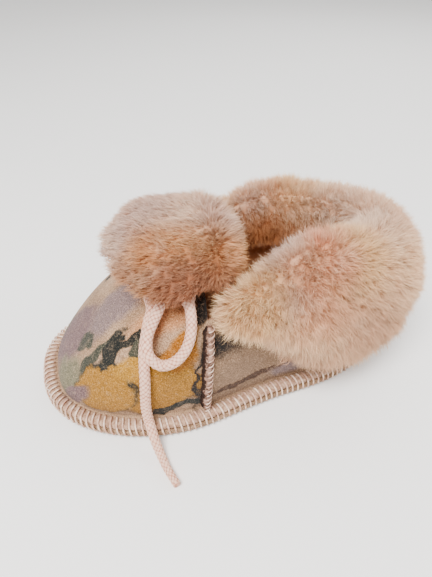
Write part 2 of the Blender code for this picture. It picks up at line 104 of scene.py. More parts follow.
SEAM_HEIGHT = 0.0026
SEAM_FOOT = 0.02
SEAM_TOP = 0.97
INSOLE_THICKNESS = 0.0045
EYELET_PLACE = 0.50
EYELET_DROP = 0.0016
EYELET_BEND = 0.0016
EYELET_DIAMETER = 0.0046

Station = namedtuple("Station", "share width")
SOLE_STATIONS = (
    Station(0.00, BALL_WIDTH),
    Station(0.33, BALL_WIDTH),
    Station(0.60, WAIST_WIDTH),
    Station(0.82, HEEL_WIDTH),
    Station(1.00, HEEL_WIDTH),
)

Quarter = namedtuple("Quarter", "share height inset wrap")
QUARTER_SECTIONS = (
    Quarter(0.00, CORNER_HEIGHT, THROAT_INSET, 0.12),
    Quarter(0.30, ANKLE_HEIGHT, ANKLE_INSET, 0.00),
    Quarter(0.65, ANKLE_HEIGHT, ANKLE_INSET, 0.00),
    Quarter(1.00, HEEL_HEIGHT, HEEL_INSET, 0.00),
)

Vamp = namedtuple("Vamp", "share roundness slope wrap")
VAMP_SECTIONS = (
    Vamp(0.00, 1.55, 0.30, 1.00),
    Vamp(0.45, 1.70, 0.26, 1.00),
    Vamp(0.80, 2.00, 0.14, 0.60),
    Vamp(1.00, 2.30, 0.00, 0.12),
)

# Soft folds in the suede: where, how long and wide they are as shares of a turn and of the rise, and how deep
Fold = namedtuple("Fold", "turn rise length width depth")
FOLDS = (
    Fold(0.205, 0.20, 0.012, 0.45, -0.0007),
    Fold(0.180, 0.62, 0.020, 0.25, 0.0006),
    Fold(0.120, 0.30, 0.050, 0.16, -0.0005),
    Fold(0.060, 0.55, 0.040, 0.20, 0.0005),
    Fold(0.000, 0.35, 0.045, 0.14, -0.0005),
    Fold(0.940, 0.45, 0.040, 0.18, -0.0005),
    Fold(0.865, 0.30, 0.040, 0.20, 0.0006),
    Fold(0.240, 0.45, 0.016, 0.30, 0.0006),
    Fold(0.265, 0.30, 0.020, 0.18, -0.0006),
    Fold(0.760, 0.40, 0.018, 0.30, 0.0006),
)

# The drawstring's routes, by the middle of the cord
CORD_DIAMETER = 0.0034
BAR_ROUTE = (
    (0.0000, -0.0142, 0.0495),
    (0.0060, -0.0136, 0.0492),
    (0.0110, -0.0126, 0.0484),
    (0.0148, -0.0123, 0.0474),
    (0.0176, -0.0129, 0.0462),
)
LOOP_ROUTE = (
    (0.0058, -0.0224, 0.0503),
    (0.0115, -0.0222, 0.0493),
    (0.0186, -0.0224, 0.0462),
    (0.0226, -0.0254, 0.0433),
    (0.0258, -0.0279, 0.0410),
    (0.0287, -0.0290, 0.0382),
    (0.0309, -0.0283, 0.0357),
    (0.0321, -0.0256, 0.0335),
    (0.0321, -0.0220, 0.0337),
    (0.0310, -0.0186, 0.0357),
    (0.0291, -0.0162, 0.0389),
    (0.0260, -0.0148, 0.0426),
    (0.0221, -0.0146, 0.0461),
    (0.0186, -0.0166, 0.0479),
    (0.0145, -0.0180, 0.0491),
    (0.0058, -0.0186, 0.0499),
)
END_ROUTE = (
    (0.0058, -0.0216, 0.0463),
    (0.0110, -0.0249, 0.0446),
    (0.0168, -0.0252, 0.0427),
    (0.0200, -0.0269, 0.0402),
    (0.0230, -0.0285, 0.0372),
    (0.0257, -0.0298, 0.0339),
    (0.0282, -0.0305, 0.0302),
    (0.0300, -0.0310, 0.0258),
    (0.0311, -0.0316, 0.0202),
    (0.0316, -0.0320, 0.0142),
    (0.0325, -0.0318, 0.0099),
    (0.0350, -0.0315, 0.0080),
    (0.0377, -0.0311, 0.0060),
    (0.0399, -0.0305, 0.0036),
    (0.0427, -0.0298, 0.0022),
    (0.0465, -0.0290, 0.0019),
    (0.0526, -0.0272, 0.0019),
)
FAR_END_TIP = (
    (0.0422, -0.0318, 0.0022),
    (0.0448, -0.0345, 0.0019),
)
KNOT_CENTRE = Vector((0.0, -0.0199, 0.0489))

# The camera, as the photograph has it
IMAGE_WIDTH = 432
IMAGE_HEIGHT = 577
FOCAL_PIXELS = 480
CAMERA_AZIMUTH = 74
CAMERA_ELEVATION = 40
CAMERA_DISTANCE = 0.192
ORIGIN_PIXEL = (215.5, 348.5)
SENSOR_HEIGHT = 24.0


def table_value(rows, column, share):
    """A table's column at a share of the way through it, on a smooth curve that is level at both ends."""
    share = min(max(share, rows[0].share), rows[-1].share)
    at = max(i for i in range(len(rows) - 1) if rows[i].share <= share)
    values = [getattr(row, column) for row in rows]

    def slope(i):
        if i in (0, len(rows) - 1):
            return 0.0
        return (values[i + 1] - values[i - 1]) / (rows[i + 1].share - rows[i - 1].share)

    run = rows[at + 1].share - rows[at].share
    t = (share - rows[at].share) / run
    ease = t * t * (3 - 2 * t)
    start_pull = t * (1 - t) ** 2 * run * slope(at)
    end_pull = t * t * (1 - t) * run * slope(at + 1)
    return values[at] + (values[at + 1] - values[at]) * ease + start_pull - end_pull


def half_turn(turn):
    """The same place on the left half, and the sign of X there."""
    turn = turn % 1.0
    return (turn, 1.0) if turn <= 0.5 else (1.0 - turn, -1.0)


def signed_power(value, power):
    return math.copysign(abs(value) ** power, value)


def outline_point(turn):
    """The sole's edge seen from above."""
    angle = math.tau * turn
    y = -signed_power(math.cos(angle), 2 / END_BLUNTNESS) * SOLE_LENGTH / 2
    width = table_value(SOLE_STATIONS, "width", 0.5 + y / SOLE_LENGTH)
    return Vector((signed_power(math.sin(angle), 2 / END_BLUNTNESS) * width / 2, y, 0.0))


def outward(turn):
    """The sole edge's level outward direction."""
    along = outline_point(turn + TURN_STEP) - outline_point(turn - TURN_STEP)
    return Vector((along.y, -along.x, 0.0)).normalized()


def edge_point(turn, inset):
    """A place on the sole this far in from its edge, seen from above."""
    return outline_point(turn) - outward(turn) * inset


def sole_lift(turn, inset):
    """How far the sole's skin rises off the floor."""
    toe = max(math.cos(math.tau * turn), 0.0) ** 3
    near_edge = max(1.0 - inset / SPRING_RUN, 0.0) ** 2
    return (EDGE_LIFT + (TOE_SPRING - EDGE_LIFT) * toe) * near_edge


def turn_at(from_toe):
    """The turn on the left side where the sole's edge lies this far behind the toe's tip."""
    y = from_toe - SOLE_LENGTH / 2
    return math.acos(-signed_power(2 * y / SOLE_LENGTH, END_BLUNTNESS / 2)) / math.tau


SEAM_TURN = turn_at(SEAM_FROM_TOE)


def quarter_share(turn):
    return (half_turn(turn)[0] - SEAM_TURN) / (0.5 - SEAM_TURN)


def vamp_share(turn):
    return half_turn(turn)[0] / SEAM_TURN


def collar_point(turn):
    """The upper's top edge: the throat's arch in front, and the quarter's turned edge behind."""
    left, side = half_turn(turn)
    corner = edge_point(SEAM_TURN, THROAT_INSET) + Vector((0.0, SEAM_RAKE, 0.0))
    if left < SEAM_TURN:
        across = math.sin(math.pi / 2 * vamp_share(left))
        front = THROAT_FROM_TOE - SOLE_LENGTH / 2
        arch = 1.0 - across * across
        return Vector((
            side * corner.x * across,
            corner.y + (front - corner.y) * arch,
            CORNER_HEIGHT + (INSTEP_HEIGHT - CORNER_HEIGHT) * arch,
        ))
    share = quarter_share(left)
    place = edge_point(left, table_value(QUARTER_SECTIONS, "inset", share))
    place.y += SEAM_RAKE * (1.0 - share) ** 3
    return Vector((side * place.x, place.y, table_value(QUARTER_SECTIONS, "height", share)))


def flange_top(turn, inset):
    """Height of the upper's turned-out edge."""
    return SOLE_THICKNESS + EDGE_GAP + UPPER_WALL + sole_lift(turn, inset)


def upper_point(turn, rise):
    """The upper's outer face: rise 0 is the wall's foot on the stitched edge, and 1 is the top edge."""
    left, side = half_turn(turn)
    foot = edge_point(left, EDGE_WIDTH)
    foot.z = flange_top(left, EDGE_WIDTH)
    top = collar_point(left)
    roundness = table_value(VAMP_SECTIONS, "roundness", vamp_share(left))
    slope = table_value(VAMP_SECTIONS, "slope", vamp_share(left))
    if left < SEAM_TURN:
        wrap = table_value(VAMP_SECTIONS, "wrap", vamp_share(left))
    else:
        wrap = table_value(QUARTER_SECTIONS, "wrap", quarter_share(left))
    angle = math.pi / 2 * rise
    dome_in = 1.0 - max(math.cos(angle), 0.0) ** (2 / roundness)
    dome_up = (1.0 - slope) * math.sin(angle) ** (2 / roundness) + slope * dome_in
    inward = wrap * dome_in + (1.0 - wrap) * rise ** WALL_LEAN
    upward = wrap * dome_up + (1.0 - wrap) * rise
    point = foot.lerp(top, inward)
    point.z = foot.z + (top.z - foot.z) * upward
    point += outward(left) * WALL_BULGE * math.sin(math.pi * rise)
    point.x *= side
    return point


def upper_normal(turn, rise):
    """The upper's outward direction, off its face."""
    low, high = max(rise - RISE_STEP, 0.0), min(rise + RISE_STEP, 1.0)
    around = upper_point(turn + TURN_STEP / 2, rise) - upper_point(turn - TURN_STEP / 2, rise)
    upward = upper_point(turn, high) - upper_point(turn, low)
    return around.cross(upward).normalized()


def fold_depth(turn, rise):
    """How far the suede's folds stand off the wall."""
    depth = 0.0
    for fold in FOLDS:
        across = ((turn - fold.turn + 0.5) % 1.0 - 0.5) / fold.length
        depth += fold.depth * math.exp(-across * across - ((rise - fold.rise) / fold.width) ** 2)
    return depth


def edge_turns(spacing):
    """Turns spaced evenly along the sole's edge, about this far apart."""
    fine = np.linspace(0.0, 1.0, 2001)
    places = np.array([outline_point(turn)[:2] for turn in fine])
    length = np.concatenate(([0.0], np.cumsum(np.linalg.norm(np.diff(places, axis=0), axis=1))))
    count = round(length[-1] / spacing)
    return np.interp(np.arange(count) / count * length[-1], length, fine), count


# Mesh helpers


def link(obj):
    bpy.context.scene.collection.objects.link(obj)
    return obj


def mesh_object(name, mesh, material_made=None, smooth=True):
    if material_made:
        mesh.materials.clear()
        mesh.materials.append(material_made)
    if smooth:
        mesh.shade_smooth()
    return link(bpy.data.objects.new(name, mesh))


def loft_mesh(name, rings, loop_closed=False, caps=False):
    """A skin through closed rings of points, its faces pointing out."""
    count = len(rings[0])
    rows = len(rings)
    points = np.array([tuple(p) for ring in rings for p in ring])
    faces = []
    for row in range(rows if loop_closed else rows - 1):
        near, far = row * count, (row + 1) % rows * count
        for i in range(count):
            j = (i + 1) % count
            faces.append((near + i, near + j, far + j, far + i))
    if caps:
        faces.append(tuple(reversed(range(count))))
        faces.append(tuple(range((rows - 1) * count, rows * count)))
    mesh = bpy.data.meshes.new(name)
    mesh.from_pydata(points.tolist(), [], faces)
    bm = bmesh.new()
    bm.from_mesh(mesh)
    bmesh.ops.recalc_face_normals(bm, faces=bm.faces)
    bm.to_mesh(mesh)
    bm.free()
    return mesh


def set_attribute(mesh, name, values, kind="FLOAT"):
    layer = mesh.attributes.new(name, kind, "POINT")
    layer.data.foreach_set("vector" if kind == "FLOAT_VECTOR" else "value", np.asarray(values).ravel())


def evaluated_mesh(obj, name):
    depsgraph = bpy.context.evaluated_depsgraph_get()
    mesh = bpy.data.meshes.new_from_object(obj.evaluated_get(depsgraph))
    mesh.name = name
    return mesh


def discard(*objects):
    for obj in objects:
        bpy.data.objects.remove(obj, do_unlink=True)


def smooth_route(route, step):
    """Points about a step apart on a smooth curve through a route's own points."""
    places = [Vector(point) for point in route]
    places = [places[0] * 2 - places[1]] + places + [places[-1] * 2 - places[-2]]
    line = []
    for before, near, far, after in zip(places, places[1:], places[2:], places[3:]):
        count = max(1, round((far - near).length / step))
        for i in range(count):
            t = i / count
            line.append((
                near * 2 + (far - before) * t + (before * 2 - near * 5 + far * 4 - after) * t * t
                + (near * 3 - before - far * 3 + after) * t * t * t
            ) / 2)
    return line + [places[-2]]


# Materials


class Shader:
    """A Principled material and short names for its nodes."""

    def __init__(self, name, roughness, sheen=0.0, specular=0.3):
        self.material = bpy.data.materials.new(name)
        self.material.use_nodes = True
        self.tree = self.material.node_tree
        self.surface = self.tree.nodes["Principled BSDF"]
        self.surface.inputs["Roughness"].default_value = roughness
        self.surface.inputs["Specular IOR Level"].default_value = specular
        self.surface.inputs["Sheen Weight"].default_value = sheen
        self.surface.inputs["Sheen Roughness"].default_value = 0.6
        self.place = self.tree.nodes.new("ShaderNodeTexCoord").outputs["Object"]

    def link(self, source, target):
        self.tree.links.new(source, target)

    def attribute(self, name, output="Fac"):
        made = self.tree.nodes.new("ShaderNodeAttribute")
        made.attribute_name = name
        return made.outputs[output]

    def noise(self, scale, detail=3.0, rough=0.5, vector=None, output="Fac", distortion=0.0):
        made = self.tree.nodes.new("ShaderNodeTexNoise")
        made.inputs["Scale"].default_value = scale
        made.inputs["Detail"].default_value = detail
        made.inputs["Roughness"].default_value = rough
        made.inputs["Distortion"].default_value = distortion
        self.link(vector or self.place, made.inputs["Vector"])
        return made.outputs[output]

    def math(self, kind, first, second=0.5, clamp=False):
        made = self.tree.nodes.new("ShaderNodeMath")
        made.operation = kind
        made.use_clamp = clamp
        for socket, value in zip(made.inputs, (first, second)):
            if isinstance(value, (int, float)):
                socket.default_value = value
            else:
                self.link(value, socket)
        return made.outputs[0]

    def vector(self, kind, first, second):
        made = self.tree.nodes.new("ShaderNodeVectorMath")
        made.operation = kind
        for socket, value in zip(made.inputs, (first, second)):
            if isinstance(value, (tuple, Vector)):
                socket.default_value = value
            elif isinstance(value, (int, float)):
                socket.default_value = (value,) * 3
            else:
                self.link(value, socket)
        return made.outputs["Value" if kind == "LENGTH" else "Vector"]

    def span(self, value, low, high, start=0.0, end=1.0):
        made = self.tree.nodes.new("ShaderNodeMapRange")
        made.interpolation_type = "SMOOTHSTEP"
        for name, number in (("From Min", low), ("From Max", high), ("To Min", start), ("To Max", end)):
            made.inputs[name].default_value = number
        self.link(value, made.inputs["Value"])
        return made.outputs["Result"]

    def mix(self, amount, first, second, kind="MIX"):
        made = self.tree.nodes.new("ShaderNodeMix")
        made.data_type = "RGBA"
        made.blend_type = kind
        for socket, value in ((made.inputs[0], amount), (made.inputs[6], first), (made.inputs[7], second)):
            if isinstance(value, (int, float)):
                socket.default_value = value
            elif isinstance(value, tuple):
                socket.default_value = (*value[:3], 1.0)
            else:
                self.link(value, socket)
        return made.outputs[2]

    def bump(self, height, distance, strength=0.6):
        made = self.tree.nodes.new("ShaderNodeBump")
        made.inputs["Strength"].default_value = strength
        made.inputs["Distance"].default_value = distance
        self.link(height, made.inputs["Height"])
        self.link(made.outputs["Normal"], self.surface.inputs["Normal"])

    def colour(self, value, depth=1.5):
        """Sets the surface's colour, made deeper so that it holds under a film-like view."""
        deep = self.tree.nodes.new("ShaderNodeGamma")
        deep.inputs["Gamma"].default_value = depth
        self.link(value, deep.inputs["Color"])
        self.link(deep.outputs["Color"], self.surface.inputs["Base Color"])


# Blotches of the print, and a few near-black blotches of painted shadow: their place as a turn and a rise, half their
# length and width in metres, their slant in degrees, their colour and how sharp their edge is
Blotch = namedtuple("Blotch", "turn rise length width slant colour edge")
MUSTARD = (0.55, 0.320, 0.050)
OCHRE = (0.52, 0.255, 0.035)
GOLD = (0.62, 0.38, 0.065)
LEAF = (0.040, 0.050, 0.046)
MOSS = (0.12, 0.13, 0.10)
MAUVE = (0.33, 0.23, 0.24)
LILAC = (0.40, 0.31, 0.31)
PEACH = (0.74, 0.44, 0.25)
GREY_GREEN = (0.34, 0.32, 0.22)
BROWN = (0.15, 0.08, 0.045)
# near-black painted shadow, put among the print's blotches under the flap and beside the side seams
PAINTED_SHADE = (0.025, 0.018, 0.016)
PRINT = (
    Blotch(0.285, 0.30, 0.0240, 0.0300, 0, (0.42, 0.30, 0.21), 0.40),
    Blotch(0.715, 0.30, 0.0240, 0.0300, 0, (0.42, 0.30, 0.21), 0.40),
    Blotch(0.985, 0.30, 0.0150, 0.0110, 20, MAUVE, 0.25),
    Blotch(0.015, 0.62, 0.0120, 0.0090, -30, LILAC, 0.30),
    Blotch(0.045, 0.86, 0.0140, 0.0080, 10, PEACH, 0.35),
    Blotch(0.110, 0.80, 0.0150, 0.0085, 35, PEACH, 0.35),
    Blotch(0.045, 0.18, 0.0120, 0.0080, 0, GREY_GREEN, 0.30),
    Blotch(0.176, 0.36, 0.0185, 0.0165, 10, BROWN, 0.10),
    Blotch(0.177, 0.36, 0.0175, 0.0155, 10, MUSTARD, 0.10),
    Blotch(0.185, 0.70, 0.0110, 0.0080, -50, OCHRE, 0.22),
    Blotch(0.115, 0.255, 0.0170, 0.0110, -12, LEAF, 0.08),
    Blotch(0.115, 0.24, 0.0160, 0.0102, -12, MUSTARD, 0.08),
    Blotch(0.135, 0.48, 0.0085, 0.0060, 40, GOLD, 0.30),
    Blotch(0.085, 0.50, 0.0080, 0.0034, -35, LEAF, 0.10),
    Blotch(0.100, 0.62, 0.0070, 0.0028, 50, LEAF, 0.10),
    Blotch(0.066, 0.40, 0.0062, 0.0030, 75, MOSS, 0.14),
    Blotch(0.120, 0.60, 0.0055, 0.0024, -10, MOSS, 0.14),
    Blotch(0.200, 0.09, 0.0060, 0.0024, 25, LEAF, 0.20),
    Blotch(0.075, 0.12, 0.0090, 0.0045, 30, MAUVE, 0.25),
    Blotch(0.030, 0.42, 0.0062, 0.0026, 15, MOSS, 0.18),
    Blotch(0.155, 0.90, 0.0060, 0.0035, 0, LEAF, 0.20),
    # painted shadow in the gap between the flap and the cuff, behind the side seam's top
    Blotch(0.238, 0.74, 0.0062, 0.0070, 0, PAINTED_SHADE, 0.70),
    # painted shadow under the flap, at the throat
    Blotch(0.150, 0.97, 0.0160, 0.0050, 0, PAINTED_SHADE, 0.40),
    # painted shadow: a thin line along the side seam's toe side, where the raised seam shades the suede
    Blotch(0.2222, 0.45, 0.0260, 0.0007, 90, PAINTED_SHADE, 0.60),
    Blotch(0.222, 0.12, 0.0040, 0.0024, 0, LEAF, 0.25),
    Blotch(0.262, 0.18, 0.0110, 0.0020, 8, BROWN, 0.25),
    Blotch(0.300, 0.14, 0.0100, 0.0050, 0, LILAC, 0.30),
    Blotch(0.345, 0.20, 0.0120, 0.0060, 0, MUSTARD, 0.20),
    Blotch(0.420, 0.30, 0.0110, 0.0080, 30, MAUVE, 0.25),
    Blotch(0.455, 0.16, 0.0120, 0.0070, 0, MUSTARD, 0.18),
    Blotch(0.580, 0.32, 0.0110, 0.0070, -20, GREY_GREEN, 0.25),
    Blotch(0.650, 0.22, 0.0120, 0.0060, 10, OCHRE, 0.20),
    Blotch(0.715, 0.30, 0.0090, 0.0060, 45, LILAC, 0.30),
    Blotch(0.745, 0.14, 0.0080, 0.0034, 20, LEAF, 0.15),
    Blotch(0.820, 0.45, 0.0150, 0.0110, -20, MUSTARD, 0.16),
    Blotch(0.880, 0.30, 0.0120, 0.0080, 30, PEACH, 0.30),
    Blotch(0.905, 0.62, 0.0080, 0.0034, -40, LEAF, 0.12),
    Blotch(0.935, 0.20, 0.0090, 0.0070, 0, GREY_GREEN, 0.25),
    Blotch(0.850, 0.72, 0.0070, 0.0030, 60, MOSS, 0.15),
)
CLOTH_ROUND = 0.34
CLOTH_RISE = 0.055


def cloth_place(turn, rise):
    """A place on the printed cloth, which meets itself at the heel."""
    return ((turn + 0.5) % 1.0 * CLOTH_ROUND, rise * CLOTH_RISE)


def suede_material(name, printed):
    """Napped suede, with the print's blotches where it is printed, a few near-black blotches of painted shadow among
    them, and a deeper orange-brown on its inner face that is painted shade.
    """
    paint = Shader(name, roughness=0.95, sheen=0.10, specular=0.08)
    ground = paint.mix(paint.span(paint.noise(90, 4), 0.35, 0.65), (0.52, 0.37, 0.25), (0.66, 0.49, 0.35))
    if printed:
        cloth = paint.tree.nodes.new("ShaderNodeUVMap")
        cloth.uv_map = "cloth"
        wobble = paint.vector("SUBTRACT", paint.noise(170, 3, output="Color"), 0.5)
        wobble = paint.vector("MULTIPLY", wobble, (0.0075, 0.0075, 0.0))
        fine = paint.vector("SUBTRACT", paint.noise(650, 2, output="Color"), 0.5)
        fine = paint.vector("MULTIPLY", fine, (0.0018, 0.0018, 0.0))
        place = paint.vector("ADD", paint.vector("ADD", cloth.outputs["UV"], wobble), fine)
        for blotch in PRINT:
            turned = paint.tree.nodes.new("ShaderNodeMapping")
            turned.vector_type = "TEXTURE"
            turned.inputs["Location"].default_value = (*cloth_place(blotch.turn, blotch.rise), 0.0)
            turned.inputs["Rotation"].default_value = (0.0, 0.0, math.radians(blotch.slant))
            turned.inputs["Scale"].default_value = (blotch.length, blotch.width, 1.0)
            paint.link(place, turned.inputs["Vector"])
            reach = paint.vector("LENGTH", turned.outputs["Vector"], 0.0)
            cover = paint.span(reach, 1.0 - blotch.edge, 1.0 + blotch.edge, 0.97, 0.0)
            ground = paint.mix(cover, ground, blotch.colour)
    grain = paint.noise(2600, 3, 0.6)
    nap = paint.noise(520, 4, 0.6)
    ground = paint.mix(paint.span(grain, 0.35, 0.65), paint.mix(1.0, ground, (0.56, 0.54, 0.52), "MULTIPLY"), ground)
    ground = paint.mix(paint.span(grain, 0.52, 0.72, 0.0, 0.40), ground, (0.70, 0.54, 0.40))
    ground = paint.mix(paint.span(nap, 0.52, 0.74, 0.0, 0.28), ground, (0.60, 0.46, 0.34))
    # painted shade: the inner face is coloured a deeper orange-brown for the shade inside the opening
    inner_shade = paint.span(paint.attribute("inside"), 0.3, 0.7)
    ground = paint.mix(inner_shade, ground, (0.62, 0.33, 0.17))
    rim = paint.span(paint.attribute("rim"), 0.2, 0.9, 0.0, 0.75)
    rim_tone = paint.mix(paint.span(paint.noise(900, 2), 0.35, 0.65), (0.48, 0.32, 0.24), (0.74, 0.56, 0.44))
    paint.colour(paint.mix(rim, ground, rim_tone))
    paint.bump(paint.math("ADD", grain, paint.math("MULTIPLY", nap, 1.5)), 0.00035, 0.7)
    return paint.material


# Tones of the wool: each spot's place and reach in metres, and its strength
Spot = namedtuple("Spot", "place reach colour strength")
YELLOW_CREAM = (0.87, 0.64, 0.36)
CREAM = (0.90, 0.69, 0.48)
PALE = (0.84, 0.68, 0.56)
LILAC_WOOL = (0.66, 0.52, 0.47)
ROSE_WOOL = (0.77, 0.38, 0.26)
PEACH_WOOL = (0.80, 0.48, 0.31)
# darker pink-brown, painted shade at the cuff's silhouette and hem
EDGE_SHADE_WOOL = (0.60, 0.37, 0.26)
TAN_WOOL = (0.66, 0.35, 0.175)
# darker rose-brown, painted shade on the flap's lower side
FLAP_SHADE_WOOL = (0.40, 0.190, 0.125)
# deep orange-brown, painted shade inside the opening
INSIDE_SHADE_WOOL = (0.52, 0.23, 0.100)
# orange-brown of the insole, painted shade deep in the opening
INSOLE_SHADE_WOOL = (0.60, 0.36, 0.20)
CUFF_SPOTS = (
    Spot((0.0198, 0.0283, 0.0628), 0.0048, ROSE_WOOL, 2.5),
    Spot((0.0301, 0.0303, 0.0586), 0.0045, ROSE_WOOL, 2.5),
    Spot((0.0323, 0.0213, 0.0549), 0.0070, PEACH_WOOL, 2.0),
    Spot((0.0365, 0.0230, 0.0453), 0.0075, PEACH_WOOL, 1.6),
    Spot((0.0336, 0.0157, 0.0505), 0.0050, LILAC_WOOL, 1.2),
    Spot((0.0275, 0.0397, 0.0592), 0.0100, YELLOW_CREAM, 2.0),
    Spot((0.0283, 0.0538, 0.0493), 0.0120, CREAM, 2.0),
    Spot((0.0140, 0.0510, 0.0596), 0.0090, PALE, 2.0),
    Spot((0.0170, 0.0170, 0.0570), 0.0070, LILAC_WOOL, 1.2),
    Spot((0.0301, 0.0064, 0.0498), 0.0070, YELLOW_CREAM, 2.0),
    Spot((0.0330, 0.0011, 0.0418), 0.0075, YELLOW_CREAM, 1.2),
    Spot((0.0369, 0.0164, 0.0327), 0.0100, CREAM, 1.2),
    # painted shade where the cuff turns away at its silhouette and hem
    Spot((0.0349, 0.0463, 0.0357), 0.0110, EDGE_SHADE_WOOL, 1.0),
    Spot((0.0330, 0.0200, 0.0180), 0.0100, EDGE_SHADE_WOOL, 1.0),
    Spot((0.0068, 0.0486, 0.0538), 0.0080, PALE, 1.5),
    Spot((0.0000, 0.0730, 0.0350), 0.0120, PEACH_WOOL, 0.8),
    # painted shade inside the opening, in front
    Spot((0.0143, 0.0193, 0.0440), 0.0050, INSIDE_SHADE_WOOL, 2.5),
    Spot((0.0135, 0.0221, 0.0393), 0.0070, INSIDE_SHADE_WOOL, 3.0),
)
FLAP_SPOTS = (
    Spot((0.0009, -0.0356, 0.0558), 0.0080, LILAC_WOOL, 2.0),
    Spot((-0.0040, -0.0298, 0.0608), 0.0080, LILAC_WOOL, 2.0),
    Spot((-0.0043, -0.0200, 0.0637), 0.0075, LILAC_WOOL, 1.6),
    Spot((0.0012, -0.0100, 0.0666), 0.0060, PALE, 1.6),
    Spot((0.0023, -0.0008, 0.0643), 0.0070, LILAC_WOOL, 2.0),
    Spot((-0.0150, -0.0150, 0.0600), 0.0120, LILAC_WOOL, 2.0),
    Spot((0.0117, -0.0229, 0.0624), 0.0055, TAN_WOOL, 2.0),
    Spot((0.0142, 0.0022, 0.0529), 0.0065, TAN_WOOL, 1.6),
    # painted shade on the flap's lower side
    Spot((0.0154, -0.0300, 0.0558), 0.0045, FLAP_SHADE_WOOL, 1.0),
    Spot((0.0234, -0.0213, 0.0564), 0.0060, FLAP_SHADE_WOOL, 2.0),
    Spot((0.0224, -0.0110, 0.0551), 0.0065, FLAP_SHADE_WOOL, 2.0),
    Spot((0.0201, -0.0037, 0.0498), 0.0055, FLAP_SHADE_WOOL, 1.6),
    Spot((0.0230, -0.0160, 0.0500), 0.0060, FLAP_SHADE_WOOL, 2.0),
)


def wool_tones(points, ground, spots, both_sides=False):
    """The wool's tone at each point, a soft mix of its ground and its spots."""
    total = np.full(len(points), 0.5)
    tones = total[:, None] * np.array(ground)
    for spot in spots:
        for side in ((1, -1) if both_sides else (1,)):
            place = np.array(spot.place) * (side, 1, 1)
            share = spot.strength * np.exp(-np.sum((points - place) ** 2, axis=1) / spot.reach ** 2)
            total += share
            tones = tones + share[:, None] * np.array(spot.colour)
    return tones / total[:, None]


def wool_material(name):
    """Wool: deeper at its roots, with fine mottling and tufts of differing shade."""
    paint = Shader(name, roughness=0.9, specular=0.1)
    tone = paint.attribute("tone", "Color")
    deep = paint.mix(1.0, tone, (0.82, 0.70, 0.62), "MULTIPLY")
    colour = paint.mix(paint.span(paint.attribute("along"), 0.0, 0.8), deep, tone)
    mottle = paint.span(paint.noise(130, 4, 0.6), 0.50, 0.72, 0.0, 0.28)
    colour = paint.mix(mottle, colour, (0.74, 0.42, 0.28))
    light = paint.span(paint.noise(75, 3, 0.5), 0.50, 0.72, 0.0, 0.35)
    colour = paint.mix(light, colour, (0.92, 0.74, 0.57))
    tuft = paint.span(paint.attribute("tuft_shade"), 0.0, 1.0, 0.91, 1.06)
    shade = paint.tree.nodes.new("ShaderNodeCombineColor")
    for socket in shade.inputs:
        paint.link(tuft, socket)
    paint.colour(paint.mix(1.0, colour, shade.outputs[0], "MULTIPLY"), 1.2)
    paint.bump(paint.noise(1500, 2), 0.0003, 0.4)
    return paint.material


def cord_material():
    """Pale pink braided cotton, with painted shade making it darker between its plaits."""
    paint = Shader("braided_cotton", roughness=0.8, specular=0.15)
    # painted shade: darker pink in the valleys between the plaits
    plait = paint.span(paint.attribute("plait"), 0.05, 0.80)
    colour = paint.mix(plait, (0.52, 0.25, 0.18), (0.88, 0.64, 0.52))
    colour = paint.mix(paint.span(paint.noise(1100, 2), 0.45, 0.70, 0.0, 0.5), colour, (0.90, 0.74, 0.64))
    paint.colour(colour)
    paint.bump(paint.noise(5200, 2), 0.00015, 0.6)
    return paint.material


def thread_material():
    """Pale pink sewing thread."""
    paint = Shader("whip_thread", roughness=0.8, specular=0.15)
    paint.colour(paint.mix(paint.span(paint.noise(420, 2), 0.35, 0.65), (0.66, 0.46, 0.37), (0.90, 0.76, 0.66)))
    paint.bump(paint.noise(6000, 1), 0.0001, 0.5)
    return paint.material


def seam_material():
    """The side seams' cut edges: mottled suede, with a dark painted shadow on the toe's side."""
    paint = Shader("cut_suede_edge", roughness=0.95, specular=0.1)
    mottle = paint.span(paint.noise(650, 3, 0.6), 0.38, 0.62)
    colour = paint.mix(mottle, (0.22, 0.14, 0.11), (0.52, 0.37, 0.30))
    colour = paint.mix(paint.span(paint.noise(1900, 2), 0.5, 0.7, 0.0, 0.6), colour, (0.70, 0.54, 0.45))
    # painted shadow: near-black on the ridge's toe-side flank, with a jagged edge
    toe_shadow = paint.math("ADD", paint.attribute("toe_side"), paint.math("MULTIPLY", paint.noise(700, 2), 0.8))
    paint.colour(paint.mix(paint.span(toe_shadow, 0.95, 1.20, 0.0, 0.9), colour, (0.055, 0.035, 0.030)))
    paint.bump(paint.noise(1500, 3), 0.0005, 0.8)
    return paint.material


# Geometry nodes


def new_tree(name, floats=(), whole=()):
    """A geometry node tree with a mesh in and out, and named number inputs."""
    tree = bpy.data.node_groups.new(name, "GeometryNodeTree")
    tree.interface.new_socket("Geometry", in_out="INPUT", socket_type="NodeSocketGeometry")
    for label in floats:
        tree.interface.new_socket(label, in_out="INPUT", socket_type="NodeSocketFloat")
    for label in whole:
        tree.interface.new_socket(label, in_out="INPUT", socket_type="NodeSocketInt")
    tree.interface.new_socket("Geometry", in_out="OUTPUT", socket_type="NodeSocketGeometry")
    return tree, tree.nodes.new("NodeGroupInput"), tree.nodes.new("NodeGroupOutput")


def tree_node(tree, kind, **settings):
    made = tree.nodes.new(kind)
    for name, value in settings.items():
        setattr(made, name, value)
    return made


def named_attribute(tree, name, kind):
    made = tree_node(tree, "GeometryNodeInputNamedAttribute", data_type=kind)
    made.inputs["Name"].default_value = name
    return made.outputs["Attribute"]


def run_tree(obj, tree, values, name):
    """Runs a tree on an object and gives its plain mesh. The object is removed."""
    modifier = obj.modifiers.new(tree.name, "NODES")
    modifier.node_group = tree
    for item in tree.interface.items_tree:
        if item.in_out == "INPUT" and item.name in values:
            modifier[item.identifier] = values[item.name]
    mesh = evaluated_mesh(obj, name)
    discard(obj)
    return mesh


